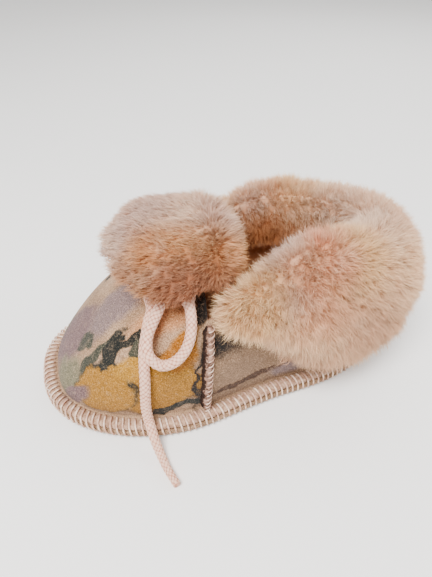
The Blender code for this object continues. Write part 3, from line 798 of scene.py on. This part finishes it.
def pile_tree(name, tufts, material_made, tilt):
    """Grows tufts along each face's nap."""
    tree, start, end = new_tree(name, ("Density", "Length"), ("Seed",))
    scatter = tree_node(tree, "GeometryNodeDistributePointsOnFaces", distribute_method="RANDOM")
    stems = tree_node(tree, "GeometryNodeCollectionInfo", transform_space="ORIGINAL")
    stems.inputs["Collection"].default_value = tufts
    stems.inputs["Separate Children"].default_value = True
    stems.inputs["Reset Children"].default_value = True
    aim = tree_node(tree, "FunctionNodeAlignRotationToVector", axis="Z")
    spin = tree_node(tree, "FunctionNodeRotateRotation", rotation_space="LOCAL")
    turn = tree_node(tree, "FunctionNodeRandomValue", data_type="FLOAT_VECTOR")
    turn.inputs[0].default_value = (-tilt, -tilt, 0.0)
    turn.inputs[1].default_value = (tilt, tilt, math.tau)
    size = tree_node(tree, "FunctionNodeRandomValue", data_type="FLOAT")
    size.inputs[2].default_value = 0.70
    size.inputs[3].default_value = 1.25
    shade = tree_node(tree, "FunctionNodeRandomValue", data_type="FLOAT")
    shade.inputs["Seed"].default_value = 7
    grown = tree_node(tree, "ShaderNodeMath", operation="MULTIPLY")
    long = tree_node(tree, "ShaderNodeMath", operation="MULTIPLY")
    place = tree_node(tree, "GeometryNodeInstanceOnPoints")
    place.inputs["Pick Instance"].default_value = True
    store = tree_node(tree, "GeometryNodeStoreNamedAttribute", data_type="FLOAT", domain="INSTANCE")
    store.inputs["Name"].default_value = "tuft_shade"
    real = tree_node(tree, "GeometryNodeRealizeInstances")
    dress = tree_node(tree, "GeometryNodeSetMaterial")
    dress.inputs["Material"].default_value = material_made
    for source, target in (
        (start.outputs["Geometry"], scatter.inputs["Mesh"]),
        (start.outputs["Density"], scatter.inputs["Density"]),
        (start.outputs["Seed"], scatter.inputs["Seed"]),
        (named_attribute(tree, "nap", "FLOAT_VECTOR"), aim.inputs["Vector"]),
        (aim.outputs["Rotation"], spin.inputs["Rotation"]),
        (turn.outputs[0], spin.inputs["Rotate By"]),
        (size.outputs[1], grown.inputs[0]),
        (named_attribute(tree, "pile", "FLOAT"), grown.inputs[1]),
        (grown.outputs[0], long.inputs[0]),
        (start.outputs["Length"], long.inputs[1]),
        (scatter.outputs["Points"], place.inputs["Points"]),
        (stems.outputs[0], place.inputs["Instance"]),
        (spin.outputs["Rotation"], place.inputs["Rotation"]),
        (long.outputs[0], place.inputs["Scale"]),
        (place.outputs["Instances"], store.inputs["Geometry"]),
        (shade.outputs[1], store.inputs["Value"]),
        (store.outputs["Geometry"], real.inputs["Geometry"]),
        (real.outputs["Geometry"], dress.inputs["Geometry"]),
        (dress.outputs["Geometry"], end.inputs["Geometry"]),
    ):
        tree.links.new(source, target)
    return tree


def row_tree(name, stitch, material_made):
    """Sets a stitch on each point, its X along the row and its Z off the skin."""
    tree, start, end = new_tree(name, ("Size",))
    dots = tree_node(tree, "GeometryNodeMeshToPoints")
    one = tree_node(tree, "GeometryNodeObjectInfo", transform_space="ORIGINAL")
    one.inputs["Object"].default_value = stitch
    aim = tree_node(tree, "FunctionNodeAxesToRotation", primary_axis="Z", secondary_axis="X")
    place = tree_node(tree, "GeometryNodeInstanceOnPoints")
    real = tree_node(tree, "GeometryNodeRealizeInstances")
    dress = tree_node(tree, "GeometryNodeSetMaterial")
    dress.inputs["Material"].default_value = material_made
    for source, target in (
        (start.outputs["Geometry"], dots.inputs["Mesh"]),
        (named_attribute(tree, "off", "FLOAT_VECTOR"), aim.inputs[0]),
        (named_attribute(tree, "along_row", "FLOAT_VECTOR"), aim.inputs[1]),
        (dots.outputs["Points"], place.inputs["Points"]),
        (one.outputs["Geometry"], place.inputs["Instance"]),
        (aim.outputs["Rotation"], place.inputs["Rotation"]),
        (start.outputs["Size"], place.inputs["Scale"]),
        (place.outputs["Instances"], real.inputs["Geometry"]),
        (real.outputs["Geometry"], dress.inputs["Geometry"]),
        (dress.outputs["Geometry"], end.inputs["Geometry"]),
    ):
        tree.links.new(source, target)
    return tree


# Pieces


class SlipperSettings(PropertyGroup):
    """Sizes and colours that a user would change."""

    wool_length: FloatProperty(
        name="Wool length", description="Length of the cuff's strands", default=0.0043, min=0.001, unit="LENGTH")
    wool_density: FloatProperty(
        name="Wool density", description="Tufts on a square metre of the cuff", default=1.10e6, min=1e4)
    strand_width: FloatProperty(
        name="Strand width", description="Width of one strand at its root", default=0.00013, min=1e-5, unit="LENGTH")
    tuft_strands: IntProperty(name="Strands in a tuft", description="Strands that grow together", default=11, min=1)
    stitch_pitch: FloatProperty(
        name="Stitch pitch", description="Distance between whip stitches", default=0.0021, min=0.001, unit="LENGTH")
    cuff_tone: FloatVectorProperty(
        name="Cuff tone", description="Ground colour of the cuff's wool", subtype="COLOR", default=(0.80, 0.57, 0.39))
    flap_tone: FloatVectorProperty(
        name="Flap tone", description="Ground colour of the flap's wool", subtype="COLOR", default=(0.76, 0.48, 0.25))


def tuft_meshes(name, strands, width, count, spread):
    """A collection of small tufts, each a few curved strands one unit long."""
    group = bpy.data.collections.new(name)
    dice = np.random.default_rng(11)
    levels = (0.0, 0.55, 1.0)
    for variant in range(count):
        points, faces, along = [], [], []
        for _ in range(strands):
            root = dice.uniform(-1.0, 1.0, 2) * 0.11
            lean = dice.normal(0.0, spread, 2)
            curl = dice.normal(0.0, 0.10, 2)
            reach = dice.uniform(0.75, 1.1)
            facing = dice.uniform(0.0, math.tau)
            side = np.array((math.cos(facing), math.sin(facing), 0.0)) * width / 2
            first = len(points)
            for i, level in enumerate(levels):
                bend = root * (1 - 0.35 * level) + lean * level + curl * math.sin(math.pi * level * 1.2)
                middle = np.array((bend[0], bend[1], level * reach))
                thin = (1.0, 0.85, 0.0)[i]
                pair = (middle - side * thin, middle + side * thin) if thin else (middle,)
                points.extend(pair)
                along.extend([level] * len(pair))
            faces += [(first, first + 1, first + 3, first + 2), (first + 2, first + 3, first + 4)]
        mesh = bpy.data.meshes.new("%s_%d" % (name, variant))
        mesh.from_pydata([tuple(p) for p in points], [], faces)
        set_attribute(mesh, "along", along)
        group.objects.link(bpy.data.objects.new(mesh.name, mesh))
    return group


def remove_group(group):
    discard(*group.objects)
    bpy.data.collections.remove(group)


def wool_base(node, name, voxel, sink, lump):
    """A smooth, lumpy copy of a wool solid, a little inside it."""
    bm = bmesh.new()
    bm.from_mesh(frame["nodes"][node].data)
    bmesh.ops.remove_doubles(bm, verts=bm.verts, dist=1e-6)
    mesh = bpy.data.meshes.new(name)
    bm.to_mesh(mesh)
    bm.free()
    rough = link(bpy.data.objects.new(name + "_rough", mesh))
    remesh = rough.modifiers.new("remesh", "REMESH")
    remesh.mode = "VOXEL"
    remesh.voxel_size = voxel
    soften = rough.modifiers.new("soften", "SMOOTH")
    soften.factor = 0.5
    soften.iterations = 6
    made = evaluated_mesh(rough, name)
    discard(rough)
    count = len(made.vertices)
    points = np.empty(count * 3)
    made.vertices.foreach_get("co", points)
    points = points.reshape(-1, 3)
    normals = np.empty(count * 3)
    made.vertex_normals.foreach_get("vector", normals)
    normals = normals.reshape(-1, 3)
    lift = np.array([
        noise.noise(Vector(p) * 95.0) * lump + noise.noise(Vector(p) * 240.0) * lump * 0.4 for p in points
    ])
    points += normals * (lift - sink)[:, None]
    made.vertices.foreach_set("co", points.ravel())
    made.update()
    return made, points, normals


def nap_field(points, normals, flow, wildness):
    """Directions that the wool lies in: off the skin, along the flow, and wandering from lock to lock."""
    wander = np.array([noise.noise_vector(Vector(p) * 150.0)[:] for p in points])
    wander += 0.6 * np.array([noise.noise_vector(Vector(p) * 420.0)[:] for p in points])
    nap = normals + flow + wander * wildness
    return nap / np.linalg.norm(nap, axis=1)[:, None]


def part_of(mesh, name, wanted):
    """A copy of a mesh with only the faces that are wanted, by their middle and their normal."""
    bm = bmesh.new()
    bm.from_mesh(mesh)
    out = [face for face in bm.faces if not wanted(face.calc_center_median(), face.normal)]
    bmesh.ops.delete(bm, geom=out, context="FACES")
    made = bpy.data.meshes.new(name)
    bm.to_mesh(made)
    bm.free()
    return link(bpy.data.objects.new(name, made))


def ramp(values, low, high):
    return np.clip((values - low) / (high - low), 0.0, 1.0)


class SLIPPER_OT_sole(Operator):
    """Suede outsole and wool insole, its wool a darker orange-brown that is painted shade"""

    bl_idname = "slipper.sole"
    bl_label = "Sole"

    def execute(self, context):
        turns, _ = edge_turns(0.0012)
        insets = (SPRING_RUN * 1.6, SPRING_RUN, SPRING_RUN * 0.6, EDGE_WIDTH, EDGE_WIDTH / 2, 0.0004, 0.0)
        rings = []
        for top, steps in ((0.0, insets), (SOLE_THICKNESS, tuple(reversed(insets)))):
            for inset in steps:
                round_off = 0.0003 if inset == 0.0 else 0.0
                height = top + (round_off if top == 0.0 else -round_off)
                rings.append([
                    edge_point(turn, inset) + Vector((0.0, 0.0, sole_lift(turn, inset) + height))
                    for turn in turns
                ])
        mesh = loft_mesh("outsole_suede", rings, caps=True)
        sole = mesh_object("outsole_suede", mesh, suede_material("sole_suede", printed=False))
        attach(sole, "root")
        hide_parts("outsole")
        side = EDGE_WIDTH + UPPER_WALL + EDGE_GAP * 1.5
        base = SOLE_THICKNESS + EDGE_GAP / 2
        rings = []
        for inset, height in ((side + 0.002, 0.0), (side, 0.0014), (side, 0.0030), (side + 0.0014, INSOLE_THICKNESS),
                              (side + 0.006, INSOLE_THICKNESS), (side + 0.012, INSOLE_THICKNESS),
                              (side + 0.018, INSOLE_THICKNESS)):
            rings.append([])
            for turn in turns[::2]:
                point = edge_point(turn, inset)
                point.z = base + height + sole_lift(turn, inset)
                if height > 0.002:
                    point.z -= 0.0006 + 0.0006 * noise.noise(point * 260.0)
                rings[-1].append(point)
        mesh = loft_mesh("insole_wool", rings, caps=True)
        # the insole's colour is painted shade, the deeper orange-brown of the opening's inside
        set_attribute(mesh, "tone", [INSOLE_SHADE_WOOL] * len(mesh.vertices), "FLOAT_VECTOR")
        insole = mesh_object("insole_wool", mesh, wool_material("trodden_wool"))
        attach(insole, "root")
        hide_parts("insole")
        return {"FINISHED"}


class SLIPPER_OT_upper(Operator):
    """Printed suede upper with its turned-out, pinched edge and soft folds"""

    bl_idname = "slipper.upper"
    bl_label = "Upper"

    def execute(self, context):
        pitch = context.scene.slipper.stitch_pitch
        _, stitches = edge_turns(pitch)
        turns, _ = edge_turns(pitch / 4)
        rows = 30
        rounding = 0.0010
        rings = []
        inside, rim, cloth = [], [], []
        for index, turn in enumerate(turns):
            pinch = 0.5 - 0.5 * math.cos(math.tau * index * stitches / len(turns))
            ring = []

            def flange(inset, height, edge):
                point = edge_point(turn, inset)
                point.z = SOLE_THICKNESS + EDGE_GAP + height + sole_lift(turn, inset)
                ring.append((point, 0.0, edge, 0.0))

            for inset in (EDGE_WIDTH + UPPER_WALL, EDGE_WIDTH, EDGE_WIDTH / 2, rounding):
                flange(inset, 0.0, 1.0)
            swell = 0.0004 * pinch
            flange(0.0003 - swell, UPPER_WALL * 0.25, 1.0)
            flange(-swell, UPPER_WALL * 0.60, 1.0)
            flange(0.0004 - swell, UPPER_WALL * 0.92, 1.0)
            flange(rounding, UPPER_WALL + 0.0003 * pinch, 1.0)
            flange(EDGE_WIDTH / 2, UPPER_WALL + 0.0005 * pinch, 0.8)
            flange(EDGE_WIDTH * 0.85, UPPER_WALL + 0.0001 * pinch, 0.4)
            for row in range(rows + 1):
                rise = row / rows
                push = fold_depth(turn, rise) * math.sin(math.pi * min(rise * 1.1, 1.0))
                point = upper_point(turn, rise) + upper_normal(turn, rise) * push
                ring.append((point, 0.0, 0.35 if row == 0 else 0.0, rise))
            for row in range(rows, -1, -2):
                rise = row / rows
                point = upper_point(turn, rise) - upper_normal(turn, rise) * UPPER_WALL
                point.z = max(point.z, SOLE_THICKNESS + EDGE_GAP + sole_lift(turn, EDGE_WIDTH) + 0.0008)
                ring.append((point, 1.0, 0.0, rise))
            rings.append([entry[0] for entry in ring])
            inside += [entry[1] for entry in ring]
            rim += [entry[2] for entry in ring]
            cloth += [cloth_place(turn, entry[3]) for entry in ring]
        mesh = loft_mesh("upper_suede", rings, loop_closed=True)
        set_attribute(mesh, "inside", inside)
        set_attribute(mesh, "rim", rim)
        layer = mesh.uv_layers.new(name="cloth")
        corners = np.empty(len(mesh.loops), dtype=int)
        mesh.loops.foreach_get("vertex_index", corners)
        places = np.array(cloth)[corners]
        across = places[:, 0].reshape(-1, 4)
        torn = across.max(axis=1) - across.min(axis=1) > CLOTH_ROUND / 2
        across[torn[:, None] & (across < CLOTH_ROUND / 2)] += CLOTH_ROUND
        layer.data.foreach_set("uv", places.ravel())
        whole = mesh_object("upper_whole", mesh, suede_material("printed_suede", printed=True))
        punches = []
        turn = SEAM_TURN * EYELET_PLACE
        for place in (turn, 1.0 - turn):
            rise = eyelet_rise(place)
            bm = bmesh.new()
            bmesh.ops.create_cone(bm, cap_ends=True, segments=24, radius1=EYELET_DIAMETER / 2,
                                  radius2=EYELET_DIAMETER / 2, depth=UPPER_WALL * 4)
            aim = upper_normal(place, rise).to_track_quat("Z", "Y").to_matrix().to_4x4()
            bm.transform(Matrix.Translation(upper_point(place, rise)) @ aim)
            punch = bpy.data.meshes.new("punch")
            bm.to_mesh(punch)
            bm.free()
            punches.append(link(bpy.data.objects.new("punch", punch)))
            hole = whole.modifiers.new("eyelet", "BOOLEAN")
            hole.operation = "DIFFERENCE"
            hole.object = punches[-1]
        cut = evaluated_mesh(whole, "upper_suede")
        discard(whole, *punches)
        upper = mesh_object("upper_suede", cut)
        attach(upper, "root")
        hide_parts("upper")
        return {"FINISHED"}


def eyelet_rise(turn):
    """The rise of a drawstring hole, a little below the throat's edge."""
    target = collar_point(turn).z - EYELET_DROP
    return min((i / 400 for i in range(200, 401)), key=lambda rise: abs(upper_point(turn, rise).z - target))


class SLIPPER_OT_side_seams(Operator):
    """Raised overcast seams between vamp and quarters, pinched by their stitches"""

    bl_idname = "slipper.side_seams"
    bl_label = "Side seams"

    def execute(self, context):
        edge = seam_material()
        thread = thread_material()
        outline = [(math.cos(a) * 0.5, max(math.sin(a), -0.15)) for a in (math.tau * i / 14 for i in range(14))]
        for name, turn in (("side_seam_left", SEAM_TURN), ("side_seam_right", 1.0 - SEAM_TURN)):
            rows = 110
            count = 17
            rings = []
            for row in range(rows + 1):
                share = row / rows
                rise = SEAM_FOOT + (SEAM_TOP - SEAM_FOOT) * share
                normal = upper_normal(turn, rise)
                around = (upper_point(turn + TURN_STEP, rise) - upper_point(turn - TURN_STEP, rise)).normalized()
                taper = min(1.0, 0.45 + share * 14, 0.45 + (1 - share) * 14)
                pinch = 0.88 + 0.16 * abs(math.cos(math.pi * share * count))
                base = upper_point(turn, rise) + normal * 0.0003
                wander = 0.0005 * noise.noise(Vector((share * 14.0, turn * 50, 0.0)))
                rings.append([
                    base + around * (x * SEAM_WIDTH * taper * pinch + wander) + normal * y * SEAM_HEIGHT * taper * pinch
                    for x, y in outline
                ])
            mesh = loft_mesh(name + "_ridge", rings, caps=True)
            # toe_side places the ridge's painted shadow on its toe-side flank
            toe_side = -1.0 if turn < 0.5 else 1.0
            set_attribute(mesh, "toe_side", [toe_side * x * 2 for x, _ in outline] * len(rings))
            seam = mesh_object(name + "_ridge", mesh, edge)
            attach(seam, "root")
            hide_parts(name)
            points, off, along = [], [], []
            for i in range(count):
                rise = SEAM_FOOT + (SEAM_TOP - SEAM_FOOT) * (i + 0.5) / count
                normal = upper_normal(turn, rise)
                points.append(upper_point(turn, rise) + normal * 0.0002)
                off.append(normal)
                along.append((upper_point(turn, rise + 0.01) - upper_point(turn, rise - 0.01)).normalized())
            row_of_stitches(name + "_stitches", points, off, along, seam_stitch(-1 if turn < 0.5 else 1), thread)
        return {"FINISHED"}


def tube_mesh(name, line, radius, sides):
    """A thin closed tube along a short line of points."""
    rings = []
    for i, point in enumerate(line):
        ahead = (line[min(i + 1, len(line) - 1)] - line[max(i - 1, 0)]).normalized()
        across = ahead.cross(Vector((1.0, 0.0, 0.0))).normalized()
        other = across.cross(ahead)
        rings.append([
            point + (across * math.cos(a) + other * math.sin(a)) * radius
            for a in (math.tau * k / sides for k in range(sides))
        ])
    return loft_mesh(name, rings, caps=True)


def seam_stitch(side):
    """One slanted whip stitch from a side seam's crest to its foot on the heel's side."""
    line = [Vector((0.0008 * (share - 0.5), math.cos(a) * SEAM_WIDTH * 0.56 * side, math.sin(a) * SEAM_HEIGHT * 1.06))
            for share, a in ((i / 7, math.pi * (0.60 - 0.64 * i / 7)) for i in range(8))]
    return bpy.data.objects.new("seam_stitch", tube_mesh("seam_stitch", line, 0.00017, 6))


def edge_stitch():
    """One whip stitch over the sole's edge, from the suede's top round the rim to the outsole's underside."""
    top = SOLE_THICKNESS + EDGE_GAP + UPPER_WALL
    route = ((0.0034, top + 0.0001), (0.0024, top + 0.0006), (0.0010, top + 0.0006), (-0.0002, top + 0.0001),
             (-0.0007, top - 0.0012), (-0.0007, top - 0.0030), (-0.0005, 0.0010), (0.0002, 0.0003), (0.0014, 0.0004))
    line = [Vector((0.0018 * (i / 8 - 0.5), inset, height)) for i, (inset, height) in enumerate(route)]
    line = smooth_route([tuple(p) for p in line], 0.0010)
    return bpy.data.objects.new("edge_stitch", tube_mesh("edge_stitch", line, 0.00030, 6))


def row_of_stitches(name, points, off, along, stitch, thread):
    """Stitches on points, riding with the slipper."""
    mesh = bpy.data.meshes.new(name + "_dots")
    mesh.from_pydata([tuple(p) for p in points], [], [])
    set_attribute(mesh, "off", [tuple(v) for v in off], "FLOAT_VECTOR")
    set_attribute(mesh, "along_row", [tuple(v) for v in along], "FLOAT_VECTOR")
    dots = link(bpy.data.objects.new(name + "_dots", mesh))
    tree = row_tree(name + "_row", stitch, thread)
    row = mesh_object(name, run_tree(dots, tree, {"Size": 1.0}, name))
    discard(stitch)
    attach(row, "root")
    return row


class SLIPPER_OT_edge_stitches(Operator):
    """Whip stitches that bind the upper's edge to the sole"""

    bl_idname = "slipper.edge_stitches"
    bl_label = "Edge stitches"

    def execute(self, context):
        turns, _ = edge_turns(context.scene.slipper.stitch_pitch)
        points, off, along = [], [], []
        for turn in turns:
            place = outline_point(turn)
            place.z = sole_lift(turn, 0.0)
            points.append(place)
            off.append(Vector((0.0, 0.0, 1.0)))
            along.append(outward(turn).cross(Vector((0.0, 0.0, 1.0))) * -1.0)
        thread = thread_material()
        row_of_stitches("edge_stitches", points, off, along, edge_stitch(), thread)
        return {"FINISHED"}


class SLIPPER_OT_cuff(Operator):
    """Wool cuff: a lumpy base and strands that lie outwards and down"""

    bl_idname = "slipper.cuff"
    bl_label = "Wool cuff"

    def execute(self, context):
        look = context.scene.slipper
        base, points, normals = wool_base("cuff", "cuff_wool_base", 0.0011, 0.0030, 0.0012)
        hem = 1.0 - ramp(points[:, 2], 0.016, 0.036)
        front = 1.0 - ramp(points[:, 1], -0.006, 0.012)
        flow = np.zeros_like(points)
        flow[:, 2] -= 0.20 + 0.75 * hem
        flow[:, 1] -= 0.45 * front
        set_attribute(base, "nap", nap_field(points, normals, flow, 0.26), "FLOAT_VECTOR")
        middle = np.array([collar_point(0.5).y - 0.010, 0.0])
        reach = np.hypot(points[:, 0] / 0.0215, np.maximum(points[:, 1] - 0.022, 0.0) / 0.030)
        inside = ramp(1.05 - reach, 0.0, 0.30) * ramp(middle[0] + 0.020 - points[:, 1], 0.0, 0.010)
        inside *= 1.0 - ramp(points[:, 2], 0.040, 0.052)
        set_attribute(base, "pile", 1.0 - 0.30 * inside + 0.45 * hem + 0.40 * front)
        tones = wool_tones(points, look.cuff_tone, CUFF_SPOTS, both_sides=True)
        # painted shade: the cuff's wool inside the opening is pulled towards a deep orange-brown
        tones += (np.array(INSIDE_SHADE_WOOL) - tones) * (0.85 * inside[:, None])
        set_attribute(base, "tone", tones, "FLOAT_VECTOR")
        wool = wool_material("cuff_wool")
        body = mesh_object("cuff_wool_base", base, wool)
        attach(body, "root")
        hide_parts("cuff")
        tufts = tuft_meshes("cuff_tufts", look.tuft_strands, look.strand_width / look.wool_length, 6, 0.13)
        tree = pile_tree("cuff_pile", tufts, wool, 0.20)
        suede = frame["nodes"]["upper"].data
        wall = BVHTree.FromPolygons([v.co for v in suede.vertices], [p.vertices[:] for p in suede.polygons])

        def shows(place, normal):
            return abs(normal.z) > 0.6 or wall.ray_cast(place, normal, 0.0055)[0] is None

        cuts = (
            ("cuff_wool_left_front", lambda p, n: p.x > 0 and p.y < 0.032 and shows(p, n)),
            ("cuff_wool_left_back", lambda p, n: p.x > 0 and p.y >= 0.032 and shows(p, n)),
            ("cuff_wool_right_front", lambda p, n: p.x <= 0 and p.y < 0.032 and shows(p, n)),
            ("cuff_wool_right_back", lambda p, n: p.x <= 0 and p.y >= 0.032 and shows(p, n)),
        )
        for seed, (name, wanted) in enumerate(cuts):
            patch = part_of(body.data, name + "_skin", wanted)
            values = {"Density": look.wool_density, "Length": look.wool_length, "Seed": 20 + seed}
            strands = mesh_object(name, run_tree(patch, tree, values, name))
            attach(strands, "root")
        remove_group(tufts)
        return {"FINISHED"}


class SLIPPER_OT_tongue(Operator):
    """The tongue's folded flap: a bare wool base underneath, wool combed forward on top"""

    bl_idname = "slipper.tongue"
    bl_label = "Tongue flap"

    def execute(self, context):
        look = context.scene.slipper
        base, points, normals = wool_base("tongue", "tongue_wool_base", 0.0009, 0.0014, 0.0007)
        flow = np.zeros_like(points)
        back = ramp(points[:, 1], -0.006, 0.002)
        flow[:, 1] += 0.70 * back - 1.20 * (1.0 - back)
        flow[:, 2] -= 0.10
        set_attribute(base, "nap", nap_field(points, normals, flow, 0.22), "FLOAT_VECTOR")
        low = ramp(0.25 - normals[:, 2], 0.0, 0.6) * ramp(0.004 - points[:, 1], 0.0, 0.008)
        set_attribute(base, "pile", 1.0 - 0.50 * low + 0.60 * back)
        tones = wool_tones(points, look.flap_tone, FLAP_SPOTS)
        set_attribute(base, "tone", tones, "FLOAT_VECTOR")
        wool = wool_material("flap_wool")
        body = mesh_object("tongue_wool_base", base, wool)
        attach(body, "root")
        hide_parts("tongue")
        length = look.wool_length * 0.80
        tufts = tuft_meshes("flap_tufts", look.tuft_strands, look.strand_width / length, 6, 0.11)
        tree = pile_tree("flap_pile", tufts, wool, 0.16)
        skin = part_of(base, "flap_skin", lambda p, n: n.z > -0.45)
        values = {"Density": look.wool_density * 1.05, "Length": length, "Seed": 31}
        strands = mesh_object("tongue_wool", run_tree(skin, tree, values, "tongue_wool"))
        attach(strands, "root")
        remove_group(tufts)
        return {"FINISHED"}


def braided_tube(name, route, tip=False):
    """A round braid along a route: plaits cross round the cord, and stand up where one passes over."""
    step = 0.00025
    sides = 36
    plaits = 6
    pitch = 0.0096
    line = smooth_route(route, step)
    ahead = [(line[min(i + 1, len(line) - 1)] - line[max(i - 1, 0)]).normalized() for i in range(len(line))]
    across = ahead[0].orthogonal().normalized()
    travelled = 0.0
    rings, plait = [], []
    for i, point in enumerate(line):
        across = (across - ahead[i] * across.dot(ahead[i])).normalized()
        other = ahead[i].cross(across)
        if i:
            travelled += (point - line[i - 1]).length
        left_over = (len(line) - 1 - i) * step
        thin = 1.0 - 0.26 * math.exp(-(left_over / 0.014) ** 2) if tip else 1.0
        ring = []
        for k in range(sides):
            angle = math.tau * k / sides
            wave = math.tau * travelled / pitch * plaits / 2
            one = abs(math.cos(plaits * angle / 2 + wave))
            two = abs(math.cos(plaits * angle / 2 - wave))
            height = math.sqrt(one * two)
            radius = CORD_DIAMETER / 2 * thin * (0.86 + 0.16 * height)
            ring.append(point + (across * math.cos(angle) + other * math.sin(angle)) * radius)
            plait.append(height)
        rings.append(ring)
    mesh = loft_mesh(name, rings, caps=True)
    set_attribute(mesh, "plait", plait)
    return mesh, line


def mirrored(route):
    return tuple((-x, y, z) for x, y, z in route)


class SLIPPER_OT_drawstring(Operator):
    """Braided drawstring through its eyelets, tied in a bow under the flap"""

    bl_idname = "slipper.drawstring"
    bl_label = "Drawstring"

    def execute(self, context):
        cotton = cord_material()
        turn = SEAM_TURN * EYELET_PLACE
        rise = eyelet_rise(turn)
        hole, normal = upper_point(turn, rise), upper_normal(turn, rise)
        half = BAR_ROUTE + (tuple(hole + normal * EYELET_BEND), tuple(hole - normal * UPPER_WALL * 1.2))
        mesh, _ = braided_tube("drawstring_braid", tuple(reversed(mirrored(half[1:]))) + half)
        bar = mesh_object("drawstring_braid", mesh, cotton)
        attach(bar, "root")
        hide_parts("drawstring")
        knot = self.knot(cotton)
        cords = (
            ("bow_loop_left", LOOP_ROUTE, "object"),
            ("bow_loop_right", mirrored(LOOP_ROUTE), "object"),
            ("bow_end_left", END_ROUTE, "bare"),
            ("bow_end_right", mirrored(END_ROUTE[:-3] + FAR_END_TIP), "bare"),
        )
        for node, route, far_end in cords:
            mesh, line = braided_tube(node + "_braid", route, tip=far_end == "bare")
            piece = mesh_object(node + "_braid", mesh, cotton)
            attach(piece, "root")
            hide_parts(node)
        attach(knot, "root")
        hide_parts("bow_knot")
        return {"FINISHED"}

    def knot(self, cotton):
        """A few turns of the cord wound round the bow's middle."""
        route = []
        for i in range(27):
            angle = math.tau * i / 9
            route.append((
                KNOT_CENTRE.x + 0.0034 * (i / 13 - 1.0),
                KNOT_CENTRE.y + 0.0019 * math.cos(angle),
                KNOT_CENTRE.z + 0.0014 * math.sin(angle),
            ))
        mesh, _ = braided_tube("bow_knot_braid", route)
        return mesh_object("bow_knot_braid", mesh, cotton)


class SLIPPER_OT_stage(Operator):
    """Pale floor, soft lights and the photograph's camera"""

    bl_idname = "slipper.stage"
    bl_label = "Stage"

    def execute(self, context):
        scene = context.scene
        azimuth, elevation = math.radians(CAMERA_AZIMUTH), math.radians(CAMERA_ELEVATION)
        back = Vector((math.sin(azimuth) * math.cos(elevation), -math.cos(azimuth) * math.cos(elevation),
                       math.sin(elevation)))
        right = Vector((math.cos(azimuth), math.sin(azimuth), 0.0))
        up = back.cross(right)
        across = (ORIGIN_PIXEL[0] - IMAGE_WIDTH / 2) / FOCAL_PIXELS
        down = (ORIGIN_PIXEL[1] - IMAGE_HEIGHT / 2) / FOCAL_PIXELS
        camera = bpy.data.cameras.new("camera")
        camera.sensor_fit = "VERTICAL"
        camera.sensor_height = SENSOR_HEIGHT
        camera.lens = FOCAL_PIXELS * SENSOR_HEIGHT / IMAGE_HEIGHT
        camera.clip_start = 0.005
        eye = link(bpy.data.objects.new("camera", camera))
        eye.matrix_world = Matrix((right, up, back)).transposed().to_4x4()
        eye.location = (back - right * across + up * down) * CAMERA_DISTANCE
        scene.camera = eye
        world = bpy.data.worlds.new("studio")
        world.use_nodes = True
        world.node_tree.nodes["Background"].inputs["Color"].default_value = (1.0, 0.98, 0.96, 1.0)
        world.node_tree.nodes["Background"].inputs["Strength"].default_value = 0.85
        scene.world = world
        for name, place, size, power in (
            ("key", (0.25, -0.20, 0.55), 0.26, 8.0),
            ("fill", (-0.35, 0.30, 0.45), 0.50, 1.6),
            ("rim", (0.10, 0.50, 0.35), 0.30, 1.4),
        ):
            lamp = bpy.data.lights.new(name, "AREA")
            lamp.energy = power
            lamp.size = size
            lamp.color = (1.0, 0.985, 0.965)
            light = link(bpy.data.objects.new(name, lamp))
            light.location = place
            light.rotation_euler = Vector(place).to_track_quat("Z", "Y").to_euler()
        paper = Shader("paper_floor", roughness=0.9, specular=0.1)
        paper.colour(paper.mix(paper.noise(6, 2), (0.93, 0.93, 0.925), (0.96, 0.96, 0.955)), 1.0)
        sweep = bpy.data.meshes.new("floor")
        bm = bmesh.new()
        bmesh.ops.create_grid(bm, x_segments=4, y_segments=4, size=3.0)
        bm.to_mesh(sweep)
        bm.free()
        mesh_object("floor", sweep, paper.material)
        return {"FINISHED"}


class SLIPPER_PT_panel(Panel):
    """Lists the slipper's pieces and sizes"""

    bl_label = "Sheepskin slipper"
    bl_idname = "SLIPPER_PT_panel"
    bl_space_type = "VIEW_3D"
    bl_region_type = "UI"
    bl_category = "Slipper"

    def draw(self, context):
        look = context.scene.slipper
        for name in ("wool_length", "wool_density", "strand_width", "tuft_strands", "stitch_pitch",
                     "cuff_tone", "flap_tone"):
            self.layout.prop(look, name)
        for piece in PIECES + (SLIPPER_OT_stage,):
            self.layout.operator(piece.bl_idname)


PIECES = (
    SLIPPER_OT_drawstring,
    SLIPPER_OT_sole,
    SLIPPER_OT_upper,
    SLIPPER_OT_side_seams,
    SLIPPER_OT_edge_stitches,
    SLIPPER_OT_cuff,
    SLIPPER_OT_tongue,
)
CLASSES = (SlipperSettings,) + PIECES + (SLIPPER_OT_stage, SLIPPER_PT_panel)


def register():
    for item in CLASSES:
        bpy.utils.register_class(item)
    bpy.types.Scene.slipper = PointerProperty(type=SlipperSettings)


def unregister():
    del bpy.types.Scene.slipper
    for item in reversed(CLASSES):
        bpy.utils.unregister_class(item)


def main():
    register()
    bpy.ops.slipper.stage()
    bpy.ops.slipper.drawstring()
    bpy.ops.slipper.sole()
    bpy.ops.slipper.upper()
    bpy.ops.slipper.side_seams()
    bpy.ops.slipper.edge_stitches()
    bpy.ops.slipper.cuff()
    bpy.ops.slipper.tongue()


if __name__ == "__main__":
    main()
